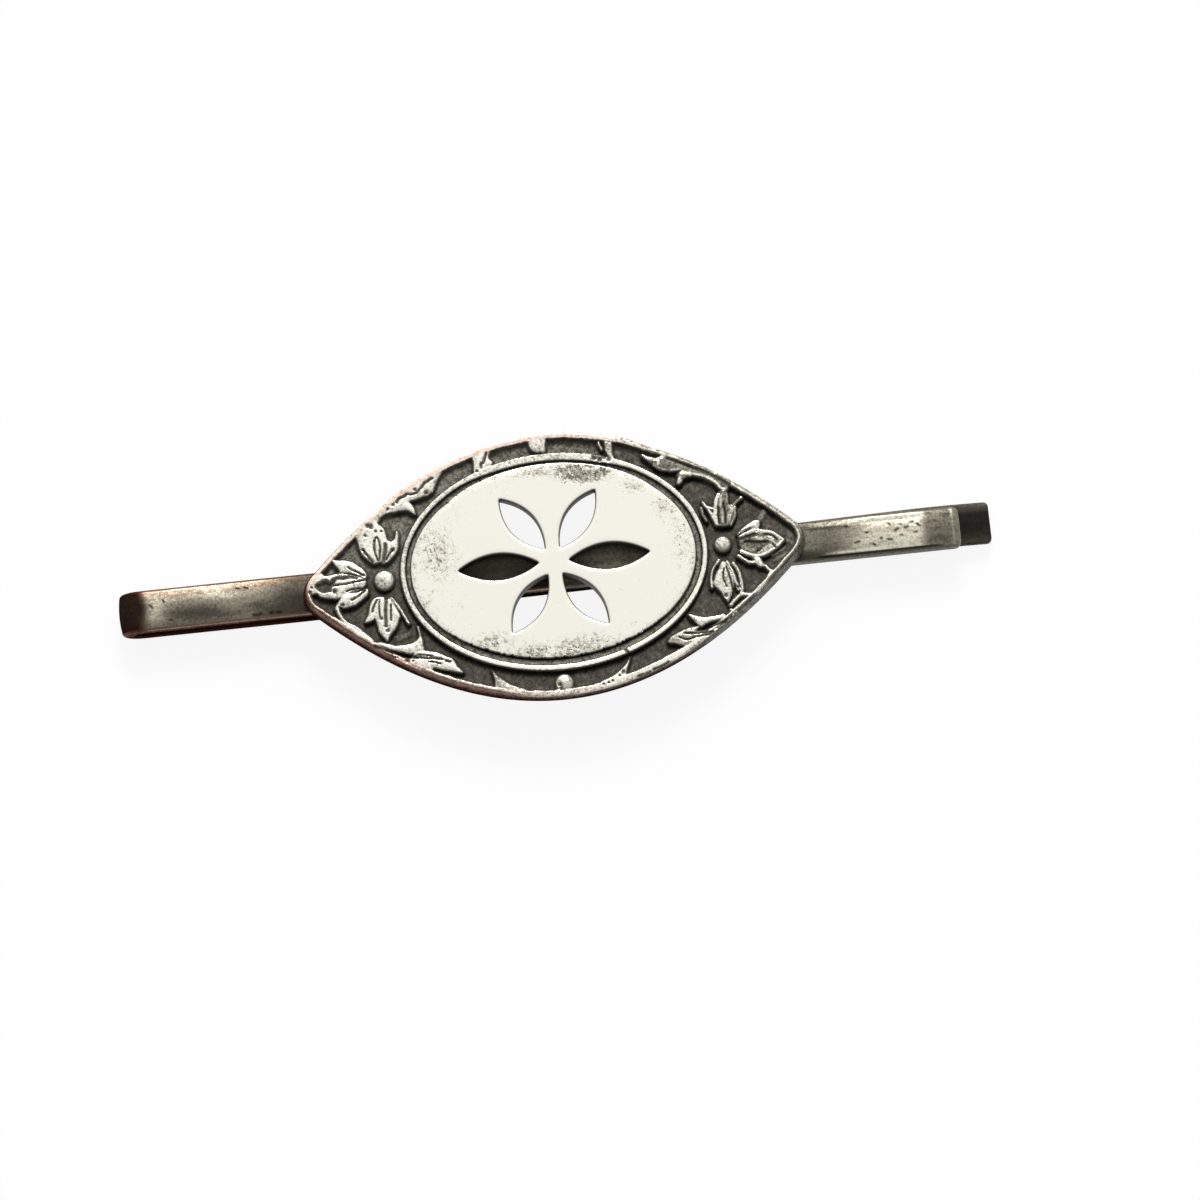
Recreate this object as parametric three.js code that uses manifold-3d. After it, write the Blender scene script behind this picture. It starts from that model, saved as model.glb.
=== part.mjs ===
// Slide tie clip: a flat silver strip bent into a hairpin, with a pointed-oval ornamental plaque soldered on.
// Millimetres. X runs along the bar from the bend to the free tips, Z points out of the front face,
// and the clip lies on the underside of its tongue at Z = 0.
import * as THREE from 'three';
import Module from 'manifold-3d';

// Strip
const OVERALL_LENGTH = 56.9;
const STRIP_WIDTH = 2.7;
const STRIP_THICKNESS = 0.9;
const STRIP_CHAMFER = 0.25;
const TIP_CORNER_RADIUS = 0.6;
const HAIRPIN_DEPTH = 2.8;
const BAR_OFFSET_Y = 0.05;
const BAR_SHORTER_BY = 2.1;

// Tongue
const TONGUE_FLAT_LENGTH = 8;
const TONGUE_FLARE_LENGTH = 6;
const TONGUE_SIDE_DRIFT = 0.42;
const GRIP_GAP = 0.2;
const BEND_CLEARANCE = 0.3;

// Plaque
const PLAQUE_LENGTH = 32.2;
const PLAQUE_WIDTH = 16.9;
const PLAQUE_THICKNESS = 1.4;
const PLAQUE_TIP_RADIUS = 1.4;
const PLAQUE_FLARE = 0.24;
const PLAQUE_SHIFT_X = -0.08;
const PLAQUE_TURN = THREE.MathUtils.degToRad(1);
const RIM_WIDTH = 0.3;
const RELIEF_DEPTH = 0.45;
const RELIEF_SINK = 0.2;
const RELIEF_DRAFT = 0.22;
const BEAD_PROUD = 0.1;

// Oval ring and panel
const OVAL_LENGTH = 19.9;
const OVAL_WIDTH = 14.3;
const OVAL_SHIFT_Y = 0.2;
const RING_LAND = 0.32;
const GROOVE_WIDTH = 0.46;
const GROOVE_DEPTH = 0.4;
const SEAT_CLEARANCE = 0.04;
const LEDGE_WIDTH = 0.9;
const PANEL_THICKNESS = 1.0;
const PETAL_COUNT = 6;
const PETAL_START = 1.0;
const PETAL_REACH_X = 6.2;
const PETAL_REACH_Y = 5.1;
const PETAL_WIDTH = 1.7;

// Solder
const SEAM_LEG = 0.5;
const SEAM_LENGTH = 5.6;
const SEAM_SETBACK = 2;

// Fineness of round forms
const BEND_STEPS = 14;
const TONGUE_STEPS = 22;
const CORNER_STEPS = 4;
const OVAL_STEPS = 64;
const LENS_STEPS = 22;
const TIP_STEPS = 4;
const LEAF_STEPS = 5;
const BEAD_SIDES = 12;
const BEAD_STEPS = 4;
const SEAM_STEPS = 4;
const CUT_MARGIN = 1;

// Places that follow from the sizes above
const LEFT_END = -OVERALL_LENGTH / 2;
const TONGUE_TIP = OVERALL_LENGTH / 2;
const BAR_TIP = TONGUE_TIP - BAR_SHORTER_BY;
const BEND_RADIUS = HAIRPIN_DEPTH / 2;
const BEND_X = LEFT_END + BEND_RADIUS;
const BAR_INNER_Z = HAIRPIN_DEPTH - STRIP_THICKNESS;
const TONGUE_RISE = BAR_INNER_Z - GRIP_GAP - STRIP_THICKNESS;
const GROUND_Z = PLAQUE_THICKNESS - RELIEF_DEPTH;
const LEDGE_Z = PLAQUE_THICKNESS - PANEL_THICKNESS;

const wasm = await Module();
wasm.setup();

function silver(color, roughness) {
  return new THREE.MeshStandardMaterial({ color, roughness, metalness: 1, flatShading: true });
}

const BRIGHT_SILVER = silver(0xe6e2d4, 0.25);
const WORN_SILVER = silver(0xa8a294, 0.35);
const OXIDISED_SILVER = silver(0x8b867b, 0.45);
const SOLDER = silver(0x77726a, 0.5);

const point = (x, y, z) => new THREE.Vector3(x, y, z);
const flat = (x, y) => new THREE.Vector2(x, y);

// Indexed geometry from a list of points and a list of triangle corners.
function geometryOf(points, corners) {
  const geometry = new THREE.BufferGeometry();
  geometry.setAttribute('position', new THREE.Float32BufferAttribute(points.flatMap((p) => p.toArray()), 3));
  geometry.setIndex(corners);
  return geometry;
}

function solidOf(geometry) {
  return new wasm.Manifold(new wasm.Mesh({
    numProp: 3,
    vertProperties: Float32Array.from(geometry.attributes.position.array),
    triVerts: Uint32Array.from(geometry.index.array),
  }));
}

function geometryOfSolid(solid) {
  const mesh = solid.getMesh();
  const geometry = new THREE.BufferGeometry();
  geometry.setAttribute('position', new THREE.Float32BufferAttribute(mesh.vertProperties, 3));
  geometry.setIndex(Array.from(mesh.triVerts));
  return geometry;
}

// Triangles of the wall between two rings of the same number of points.
function wall(first, second, count) {
  const corners = [];
  for (let i = 0; i < count; i += 1) {
    const j = (i + 1) % count;
    corners.push(first + i, first + j, second + j, first + i, second + j, second + i);
  }
  return corners;
}

// Closed body through a row of convex rings, each counter-clockwise seen from the far end.
function loft(rings) {
  const count = rings[0].length;
  const last = (rings.length - 1) * count;
  const corners = [];
  for (let start = 0; start < last; start += count) {
    corners.push(...wall(start, start + count, count));
  }
  for (let i = 1; i + 1 < count; i += 1) {
    corners.push(0, i + 1, i, last, last + i, last + i + 1);
  }
  return geometryOf(rings.flat(), corners);
}

// Upright body between a lower and an upper outline, which may be hollowed like a crescent.
function prism(lower, upper, bottom, top) {
  const count = lower.length;
  const points = [...lower.map((p) => point(p.x, p.y, bottom)), ...upper.map((p) => point(p.x, p.y, top))];
  const corners = wall(0, count, count);
  for (const [a, b, c] of THREE.ShapeUtils.triangulateShape([...lower], [])) {
    corners.push(a, c, b);
  }
  for (const [a, b, c] of THREE.ShapeUtils.triangulateShape([...upper], [])) {
    corners.push(count + a, count + b, count + c);
  }
  return solidOf(geometryOf(points, corners));
}

function oval(length, width, steps) {
  return new THREE.EllipseCurve(0, 0, length / 2, width / 2).getPoints(steps).slice(0, -1);
}

// Outline of the plaque, moved in or out by an offset. A sharp lens of two parabolas, widened by
// the tip radius, gives the blunt pointed oval. It stands a little askew on the bar and the ornament.
function pointedOval(offset) {
  const length = PLAQUE_LENGTH / 2 - PLAQUE_TIP_RADIUS;
  const height = PLAQUE_WIDTH / 2 - PLAQUE_TIP_RADIUS;
  const radius = PLAQUE_TIP_RADIUS + offset;
  const tipSlope = Math.atan2(length, 2 * height);
  const outline = [];
  for (const side of [1, -1]) {
    for (let i = 0; i <= LENS_STEPS; i += 1) {
      const x = length * (1 - (2 * i) / LENS_STEPS);
      const normal = flat((2 * height * x) / length ** 2, 1).normalize();
      const y = height * (1 - (x / length) ** 2);
      outline.push(flat(side * (x + radius * normal.x), side * (y + radius * normal.y)));
    }
    for (let i = 1; i < TIP_STEPS; i += 1) {
      const angle = Math.PI - tipSlope + (2 * tipSlope * i) / TIP_STEPS;
      outline.push(flat(side * (-length + radius * Math.cos(angle)), side * radius * Math.sin(angle)));
    }
  }
  return outline.map((p) => p.rotateAround(flat(0, 0), PLAQUE_TURN));
}

// Leaf between two points, with the bulge of its left and right side. A bulge below zero hollows that side.
function leaf(base, tip, left, right) {
  const along = tip.clone().sub(base);
  const across = flat(-along.y, along.x).normalize();
  const middle = base.clone().add(tip).multiplyScalar(0.5);
  const bow = (bulge) => middle.clone().addScaledVector(across, 2 * bulge);
  const rightSide = new THREE.QuadraticBezierCurve(base, bow(-right), tip).getPoints(LEAF_STEPS);
  const leftSide = new THREE.QuadraticBezierCurve(tip, bow(left), base).getPoints(LEAF_STEPS);
  return [...rightSide.slice(0, -1), ...leftSide.slice(0, -1)];
}

// Section of the strip, from a place on its inner face outwards. Outward is a direction in X and Z.
function stripRing(place, outward, halfWidth) {
  const section = [
    [-halfWidth, 0],
    [halfWidth, 0],
    [halfWidth, STRIP_THICKNESS - STRIP_CHAMFER],
    [halfWidth - STRIP_CHAMFER, STRIP_THICKNESS],
    [STRIP_CHAMFER - halfWidth, STRIP_THICKNESS],
    [-halfWidth, STRIP_THICKNESS - STRIP_CHAMFER],
  ];
  return section.map(([y, out]) => point(place.x + out * outward.x, place.y + y, place.z + out * outward.y));
}

// Distances back from a rounded tip, with the half width of the strip there, from the tip inwards.
function tipCorner() {
  const stations = [];
  for (let i = 0; i <= CORNER_STEPS; i += 1) {
    const angle = (Math.PI / 2) * (i / CORNER_STEPS);
    const back = TIP_CORNER_RADIUS * (1 - Math.cos(angle));
    stations.push({ back, half: STRIP_WIDTH / 2 - TIP_CORNER_RADIUS * (1 - Math.sin(angle)) });
  }
  return stations;
}

function frontBar() {
  const ring = (x, half) => stripRing(point(x, BAR_OFFSET_Y, BAR_INNER_Z), flat(0, 1), half);
  const tip = tipCorner().map(({ back, half }) => ring(BAR_TIP - back, half));
  return loft([ring(BEND_X, STRIP_WIDTH / 2), ...tip.reverse()]);
}

function springBend() {
  const inner = BEND_RADIUS - STRIP_THICKNESS;
  const rings = [];
  for (let i = 0; i <= BEND_STEPS; i += 1) {
    const angle = -Math.PI / 2 - (Math.PI * i) / BEND_STEPS;
    const outward = flat(Math.cos(angle), Math.sin(angle));
    const place = point(BEND_X + inner * outward.x, BAR_OFFSET_Y, BEND_RADIUS + inner * outward.y);
    rings.push(stripRing(place, outward, STRIP_WIDTH / 2));
  }
  return loft(rings);
}

// Place on the tongue's inner face. It is level near the bend, rises to the grip and flares down to the tip,
// and it drifts a little to one side towards the tip, as a strip bent by hand does.
function tonguePlace(x) {
  const flatEnd = BEND_X + TONGUE_FLAT_LENGTH;
  const grip = TONGUE_TIP - TONGUE_FLARE_LENGTH;
  const flare = Math.max(0, (x - grip) / TONGUE_FLARE_LENGTH);
  const rise = TONGUE_RISE * (THREE.MathUtils.smoothstep(x, flatEnd, grip) - flare ** 2);
  const drift = TONGUE_SIDE_DRIFT * THREE.MathUtils.inverseLerp(BEND_X, TONGUE_TIP, x) ** 3;
  return point(x, BAR_OFFSET_Y + drift, STRIP_THICKNESS + rise);
}

function springTongue() {
  const stations = tipCorner().map(({ back, half }) => ({ x: TONGUE_TIP - back, half }));
  const from = TONGUE_TIP - TIP_CORNER_RADIUS;
  const to = BEND_X + BEND_CLEARANCE;
  for (let i = 1; i <= TONGUE_STEPS; i += 1) {
    stations.push({ x: THREE.MathUtils.lerp(from, to, i / TONGUE_STEPS), half: STRIP_WIDTH / 2 });
  }
  return loft(stations.map(({ x, half }) => stripRing(tonguePlace(x), flat(0, -1), half)));
}

// Ornament of the border, in shares of the plaque's half length and half width: base, tip, left and
// right bulge in shares of the half width.
const ORNAMENT = [
  // flower at the left end: petals to the left, up and down, of three lobes each
  [-0.757, 0.065, -0.879, 0.208, 0.045, 0.05],
  [-0.76, 0.029, -0.984, 0.011, 0.095, 0.08],
  [-0.757, -0.037, -0.885, -0.145, 0.05, 0.045],
  [-0.72, 0.155, -0.779, 0.352, 0.05, 0.055],
  [-0.701, 0.155, -0.704, 0.46, 0.08, 0.08],
  [-0.679, 0.155, -0.615, 0.376, 0.03, 0.03],
  [-0.723, -0.109, -0.779, -0.289, 0.04, 0.045],
  [-0.701, -0.109, -0.698, -0.444, 0.08, 0.08],
  [-0.667, -0.127, -0.608, -0.337, 0.025, 0.025],
  // flower at the right end
  [0.745, 0.095, 0.838, 0.178, 0.035, 0.04],
  [0.745, 0.017, 0.931, 0.011, 0.08, 0.095],
  [0.738, -0.079, 0.841, -0.181, 0.035, 0.035],
  [0.667, 0.166, 0.621, 0.37, 0.035, 0.035],
  [0.692, 0.172, 0.695, 0.436, 0.06, 0.06],
  [0.717, 0.184, 0.773, 0.382, 0.035, 0.04],
  [0.664, -0.097, 0.62, -0.3, 0.04, 0.05],
  [0.679, -0.103, 0.676, -0.414, 0.07, 0.07],
  [0.704, -0.115, 0.732, -0.378, 0.05, 0.05],
  // top border: hook leaf, long leaf, bridge, tab, bridge, long leaf, hook leaf
  [-0.71, 0.496, -0.536, 0.526, 0.1, -0.025],
  [-0.598, 0.616, -0.411, 0.807, 0.04, 0.06],
  [-0.252, 0.94, -0.262, 0.78, 0.055, 0.055],
  [-0.019, 1.0, -0.016, 0.868, 0.07, 0.07],
  [0.249, 0.93, 0.277, 0.77, 0.045, 0.045],
  [0.56, 0.645, 0.399, 0.777, 0.04, 0.04],
  [0.717, 0.46, 0.526, 0.562, -0.03, 0.055],
  // bottom border: hook leaf, long leaf, thorn, thorn, leaf along the rim, long leaf, hook leaf
  [-0.748, -0.456, -0.564, -0.45, -0.035, 0.085],
  [-0.642, -0.606, -0.414, -0.738, 0.055, 0.05],
  [-0.168, -0.975, -0.296, -0.762, -0.05, 0.1],
  [0.137, -0.97, 0.262, -0.774, 0.1, -0.05],
  [0.243, -0.93, 0.474, -0.774, 0.035, 0.03],
  [0.623, -0.642, 0.42, -0.684, 0.05, 0.055],
  [0.673, -0.54, 0.517, -0.492, 0.045, 0.015],
];

// Round beads: place in shares of the plaque's half length and half width, and radius in shares of the half width.
const BEADS = [
  [-0.689, 0.023, 0.079],
  [0.682, 0.026, 0.062],
  [-0.011, -0.911, 0.068],
];

// Dome that stands on the sunk ground.
function bead(place, radius) {
  const height = RELIEF_DEPTH + BEAD_PROUD;
  const ring = (z, r) => oval(2 * r, 2 * r, BEAD_SIDES).map((p) => point(place.x + p.x, place.y + p.y, z));
  const rings = [ring(GROUND_Z - RELIEF_SINK, radius)];
  for (let i = 0; i < BEAD_STEPS; i += 1) {
    const angle = (Math.PI / 2) * (i / BEAD_STEPS);
    rings.push(ring(GROUND_Z + height * Math.sin(angle), radius * Math.cos(angle)));
  }
  return solidOf(loft(rings));
}

function ornament() {
  const halfLength = PLAQUE_LENGTH / 2;
  const halfWidth = PLAQUE_WIDTH / 2;
  const at = (x, y) => flat(x * halfLength, y * halfWidth);
  const leaves = ORNAMENT.map(([baseX, baseY, tipX, tipY, left, right]) => {
    const base = at(baseX, baseY);
    const tip = at(tipX, tipY);
    const middle = base.clone().add(tip).multiplyScalar(0.5);
    const foot = leaf(base, tip, left * halfWidth, right * halfWidth);
    const crest = foot.map((p) => p.clone().lerp(middle, RELIEF_DRAFT));
    return prism(foot, crest, GROUND_Z - RELIEF_SINK, PLAQUE_THICKNESS);
  });
  const beads = BEADS.map(([x, y, radius]) => bead(at(x, y), radius * halfWidth));
  return [...leaves, ...beads].reduce((sum, piece) => sum.add(piece));
}

function plaqueFrame() {
  const above = PLAQUE_THICKNESS + BEAD_PROUD + CUT_MARGIN;
  const panelInset = 2 * (RING_LAND + GROOVE_WIDTH);
  const ovalPrism = (inset, bottom) => {
    const outline = oval(OVAL_LENGTH - inset, OVAL_WIDTH - inset, OVAL_STEPS);
    outline.forEach((p) => p.setY(p.y + OVAL_SHIFT_Y));
    return prism(outline, outline, bottom, above);
  };
  const rimPrism = (inset, bottom) => prism(pointedOval(-inset), pointedOval(-inset), bottom, above);
  const blank = prism(pointedOval(PLAQUE_FLARE), pointedOval(0), 0, PLAQUE_THICKNESS);
  const ground = rimPrism(RIM_WIDTH, GROUND_Z).subtract(ovalPrism(0, 0));
  const relief = ornament().intersect(rimPrism(RIM_WIDTH / 2, 0));
  const groove = ovalPrism(2 * RING_LAND, PLAQUE_THICKNESS - GROOVE_DEPTH);
  const seat = ovalPrism(panelInset - 2 * SEAT_CLEARANCE, LEDGE_Z);
  const opening = ovalPrism(panelInset + 2 * LEDGE_WIDTH, -CUT_MARGIN);
  return geometryOfSolid(blank.subtract(ground).add(relief).subtract(groove).subtract(seat).subtract(opening));
}

// Oval plate with a rosette of pointed petals cut right through it.
function piercedPanel() {
  const inset = 2 * (RING_LAND + GROOVE_WIDTH);
  const shape = new THREE.Shape(oval(OVAL_LENGTH - inset, OVAL_WIDTH - inset, OVAL_STEPS));
  for (let i = 0; i < PETAL_COUNT; i += 1) {
    const angle = (2 * Math.PI * i) / PETAL_COUNT;
    const base = flat(PETAL_START * Math.cos(angle), PETAL_START * Math.sin(angle));
    const tip = flat(PETAL_REACH_X * Math.cos(angle), PETAL_REACH_Y * Math.sin(angle));
    shape.holes.push(new THREE.Path(leaf(base, tip, PETAL_WIDTH / 2, PETAL_WIDTH / 2)));
  }
  const plate = new THREE.ExtrudeGeometry(shape, { depth: PANEL_THICKNESS, bevelEnabled: false });
  return plate.translate(0, OVAL_SHIFT_Y, LEDGE_Z);
}

// Hollow fillet of solder in the corner between a side of the bar and the back of the plaque.
function solderSeam(end, side) {
  const outer = PLAQUE_LENGTH / 2 - SEAM_SETBACK;
  const sections = [outer - SEAM_LENGTH, outer].map((distance) => {
    const x = PLAQUE_SHIFT_X + end * distance;
    const place = (out, down) => point(x, BAR_OFFSET_Y + side * (STRIP_WIDTH / 2 + out), HAIRPIN_DEPTH - down);
    const ring = [place(0, 0)];
    for (let i = 0; i <= SEAM_STEPS; i += 1) {
      const angle = (Math.PI / 2) * (i / SEAM_STEPS);
      ring.push(place(SEAM_LEG * (1 - Math.cos(angle)), SEAM_LEG * (1 - Math.sin(angle))));
    }
    return ring;
  });
  return loft(end === side ? sections : sections.reverse());
}

function part(name, geometry, material) {
  const mesh = new THREE.Mesh(geometry, material);
  mesh.name = name;
  return mesh;
}

const plaque = new THREE.Group();
plaque.position.set(PLAQUE_SHIFT_X, 0, HAIRPIN_DEPTH);
plaque.add(part('plaque_frame', plaqueFrame(), OXIDISED_SILVER));
plaque.add(part('pierced_panel', piercedPanel(), BRIGHT_SILVER));

const clip = new THREE.Group();
clip.add(part('front_bar', frontBar(), WORN_SILVER));
clip.add(part('spring_bend', springBend(), WORN_SILVER));
clip.add(part('spring_tongue', springTongue(), WORN_SILVER));
clip.add(part('solder_left_upper', solderSeam(-1, 1), SOLDER));
clip.add(part('solder_left_lower', solderSeam(-1, -1), SOLDER));
clip.add(part('solder_right_upper', solderSeam(1, 1), SOLDER));
clip.add(part('solder_right_lower', solderSeam(1, -1), SOLDER));
clip.add(plaque);

export default clip;
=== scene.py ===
import math

import bpy
import numpy as np
from mathutils import Matrix, Vector
from mathutils.geometry import delaunay_2d_cdt


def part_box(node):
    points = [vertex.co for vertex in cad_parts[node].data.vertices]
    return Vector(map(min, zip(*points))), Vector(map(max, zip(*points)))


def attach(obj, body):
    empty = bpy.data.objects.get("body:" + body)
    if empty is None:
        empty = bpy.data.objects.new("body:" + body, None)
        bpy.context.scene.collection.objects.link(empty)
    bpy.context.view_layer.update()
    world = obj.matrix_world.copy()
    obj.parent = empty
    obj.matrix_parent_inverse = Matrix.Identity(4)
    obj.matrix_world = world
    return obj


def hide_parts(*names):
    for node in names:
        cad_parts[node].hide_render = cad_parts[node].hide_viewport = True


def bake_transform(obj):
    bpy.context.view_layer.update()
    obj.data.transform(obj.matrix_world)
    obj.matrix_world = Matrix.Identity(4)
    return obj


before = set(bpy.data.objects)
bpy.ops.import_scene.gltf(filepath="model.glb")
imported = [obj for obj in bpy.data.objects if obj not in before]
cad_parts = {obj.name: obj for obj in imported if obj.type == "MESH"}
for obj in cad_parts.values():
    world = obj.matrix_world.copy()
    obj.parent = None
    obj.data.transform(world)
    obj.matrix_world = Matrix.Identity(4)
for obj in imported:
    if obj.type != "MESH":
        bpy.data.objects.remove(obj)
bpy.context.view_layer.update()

MM = 0.001


def box_mm(node):
    """Lowest and highest corner of a CAD node's box, in millimetres."""
    low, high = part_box(node)
    return np.array(low) / MM, np.array(high) / MM


# View of the photograph
VIEW_ROLL = math.radians(6.07)
VIEW_LEAN = 0.2
VIEW_DISTANCE = 420.0
PX_PER_MM = 15.5
FRAME_SIDE = 1200 / PX_PER_MM
MIDDLE_FROM_FRAME = (-46 / PX_PER_MM, 39 / PX_PER_MM)

# Strip
BAR_LOW, BAR_HIGH = box_mm("front_bar")
BEND_LOW, BEND_HIGH = box_mm("spring_bend")
TONGUE_HIGH = box_mm("spring_tongue")[1]
STRIP_HALF = (BAR_HIGH[1] - BAR_LOW[1]) / 2
STRIP_THICKNESS = BAR_HIGH[2] - BAR_LOW[2]
STRIP_MIDDLE_Y = (BAR_HIGH[1] + BAR_LOW[1]) / 2
BEND_X = BEND_HIGH[0]
BEND_RADIUS = (BEND_HIGH[2] - BEND_LOW[2]) / 2
STRIP_CROWN = 0.13
STRIP_EDGE = 0.26
STRIP_INNER_EDGE = 0.1
TIP_THINNING = 0.3
BAR_CORNER = 0.45
TONGUE_CORNER = 0.3
TONGUE_FLAT = 8.0
TONGUE_FLARE = 6.0
TONGUE_RISE = TONGUE_HIGH[2] - STRIP_THICKNESS
TONGUE_DRIFT = 0.42

# Plaque
FRAME_LOW, FRAME_HIGH = box_mm("plaque_frame")
PANEL_LOW, PANEL_HIGH = box_mm("pierced_panel")
FRAME_MIDDLE_X = (FRAME_LOW[0] + FRAME_HIGH[0]) / 2
FRAME_MIDDLE_Y = (FRAME_LOW[1] + FRAME_HIGH[1]) / 2
SHEET_X = (PANEL_LOW[0] + PANEL_HIGH[0]) / 2
SHEET_Y = (PANEL_LOW[1] + PANEL_HIGH[1]) / 2
SHEET_STRETCH = math.sqrt(1 + VIEW_LEAN ** 2)
BACK_Z = FRAME_LOW[2]
TOP_Z = PANEL_HIGH[2]
LEDGE_Z = PANEL_LOW[2]
PLAQUE_LENGTH = 32.2
PLAQUE_WIDTH = 16.9
PLAQUE_TIP_RADIUS = 1.4
PLAQUE_FLARE = 0.24
PLAQUE_BACK_BEVEL = 0.08
PLAQUE_TURN = math.radians(1)
RELIEF_DEPTH = 0.45
RIM_SPREAD = 0.17
RIM_CROWN = 0.165

# Oval
PANEL_A = (PANEL_HIGH[0] - PANEL_LOW[0]) / 2
PANEL_B = (PANEL_HIGH[1] - PANEL_LOW[1]) / 2
PANEL_THICKNESS = PANEL_HIGH[2] - PANEL_LOW[2]
PANEL_LIP = 0.2
RING_LAND = 0.32
RING_TOP = 0.17
GROOVE = 0.46
GROOVE_DEPTH = 0.4
LEDGE = 0.9
SEAT_PLAY = 0.03
RING_A = PANEL_A + GROOVE + RING_LAND
RING_B = PANEL_B + GROOVE + RING_LAND
SEAT = RING_LAND + GROOVE - SEAT_PLAY
OPENING = RING_LAND + GROOVE + LEDGE
PETAL_COUNT = 6
PETAL_START = 1.0
PETAL_REACH_X = 6.2
PETAL_REACH_Y = 5.1
PETAL_BULGE = 0.85

# Fineness
RELIEF_STEP = 0.0505
LOOP_STEP = 0.06
PANEL_STEP = 0.22
PETAL_STEP = 0.12
BAR_STEP = 0.1
TONGUE_STEP = 0.25
EDGE_GAP = 0.03
RING_GAP = 0.04
PETAL_GAP = 0.1
PANEL_GAP = 0.3
PANEL_EDGE_COUNT = 560
RING_COUNT = int(round(2 * math.pi * math.sqrt((RING_A ** 2 + RING_B ** 2) / 2) / LOOP_STEP))

# Stage, in metres and watts
FLOOR_HALF = 3.0
FLOOR_Z = -0.00002
FLOOR_GLOW = 0.9
KEY_PLACE = Vector((0.06, 0.42, 0.46))
KEY_SIZE = 0.2
KEY_POWER = 2.4
CLIP_START = 0.01


# Paths and distances

def smooth_path(points, closed, steps=6):
    """Curve through the points, as a list of short segments."""
    points = np.array(points, float)
    count = len(points)
    out = []
    for i in range(count if closed else count - 1):
        if closed:
            a, b, c, d = (points[(i + k) % count] for k in (-1, 0, 1, 2))
        else:
            a, b, c, d = points[max(i - 1, 0)], points[i], points[i + 1], points[min(i + 2, count - 1)]
        for t in np.arange(steps) / steps:
            bend = (2 * a - 5 * b + 4 * c - d) * t ** 2 + (3 * b - a - 3 * c + d) * t ** 3
            out.append(b + (c - a) * t / 2 + bend / 2)
    if not closed:
        out.append(points[-1])
    return np.array(out)


def segments(path, closed):
    ends = np.roll(path, -1, axis=0)
    return list(zip(path, ends)) if closed else list(zip(path[:-1], ends[:-1]))


def distance(points, path, closed):
    best = np.full(len(points), 1e9)
    for a, b in segments(path, closed):
        along = b - a
        share = np.clip((points - a) @ along / max(along @ along, 1e-12), 0, 1)
        gap = points - a - share[:, None] * along
        best = np.minimum(best, np.hypot(gap[:, 0], gap[:, 1]))
    return best


def inside(points, path):
    odd = np.zeros(len(points), bool)
    for a, b in segments(path, True):
        crosses = (a[1] > points[:, 1]) != (b[1] > points[:, 1])
        rise = b[1] - a[1] if b[1] != a[1] else 1e-12
        at = a[0] + (points[:, 1] - a[1]) * (b[0] - a[0]) / rise
        odd ^= crosses & (points[:, 0] < at)
    return odd


def depth_inside(points, path):
    """Distance from the outline, above zero inside it."""
    return distance(points, path, True) * np.where(inside(points, path), 1, -1)


def resample(path, spacing):
    """The closed path again with even spacing."""
    closed = np.vstack([path, path[:1]])
    along = np.concatenate([[0], np.cumsum(np.hypot(*np.diff(closed, axis=0).T))])
    at = np.linspace(0, along[-1], int(round(along[-1] / spacing)), endpoint=False)
    return np.stack([np.interp(at, along, closed[:, 0]), np.interp(at, along, closed[:, 1])], axis=1)


def outward(path):
    """Outward normals of a closed path that runs counter-clockwise."""
    along = np.roll(path, -1, axis=0) - np.roll(path, 1, axis=0)
    along /= np.hypot(along[:, 0], along[:, 1])[:, None]
    return np.stack([along[:, 1], -along[:, 0]], axis=1)


def ease(x, low, high):
    """Smooth step from 0 at low to 1 at high, which may be the lesser one."""
    t = np.clip((x - low) / (high - low), 0, 1)
    return t * t * (3 - 2 * t)


def ellipse(a, b, count):
    angle = np.linspace(0, 2 * math.pi, count, endpoint=False)
    return np.stack([a * np.cos(angle), b * np.sin(angle)], axis=1)


def ellipse_depth(points, a, b):
    """Distance from an ellipse, above zero outside it, near enough close to its line."""
    share = np.hypot(points[:, 0] / a, points[:, 1] / b)
    slope = np.hypot(points[:, 0] / a ** 2, points[:, 1] / b ** 2) / np.maximum(share, 1e-9)
    return (share - 1) / np.maximum(slope, 1e-9)


def plaque_outline():
    """Blunt pointed oval: a sharp lens of two parabolas, widened by the tip radius."""
    length = PLAQUE_LENGTH / 2 - PLAQUE_TIP_RADIUS
    height = PLAQUE_WIDTH / 2 - PLAQUE_TIP_RADIUS
    x = np.linspace(length, -length, 160)
    normal = np.stack([2 * height * x / length ** 2, np.ones_like(x)], axis=1)
    normal /= np.hypot(normal[:, 0], normal[:, 1])[:, None]
    upper = np.stack([x, height * (1 - (x / length) ** 2)], axis=1) + PLAQUE_TIP_RADIUS * normal
    slope = math.atan2(length, 2 * height)
    angle = np.linspace(math.pi - slope, math.pi + slope, 24)[1:-1]
    cap = np.stack([PLAQUE_TIP_RADIUS * np.cos(angle) - length, PLAQUE_TIP_RADIUS * np.sin(angle)], axis=1)
    half = np.vstack([upper, cap])
    path = np.vstack([half, -half])
    c, s = math.cos(PLAQUE_TURN), math.sin(PLAQUE_TURN)
    path = path @ np.array([[c, s], [-s, c]])
    return path + np.array([FRAME_MIDDLE_X - SHEET_X, FRAME_MIDDLE_Y - SHEET_Y])


OUTLINE = resample(plaque_outline(), LOOP_STEP)


def worn_low(points):
    """Share of the bottom edge, where the rim is worn wide, less so on the left."""
    return ease(points[:, 1], -5.2, -7.2) * (0.3 + 0.7 * ease(points[:, 0], -5, -1.5))


def crowned(points):
    """Share of the top edge, where the rim stands further out, most of all at its middle."""
    x, y = points.T
    return ease(y, 4.0, 5.6) * (ease(x, 6.8, 5.2) + 0.4 * np.exp(-((x - 1) / 1.5) ** 2))


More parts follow.
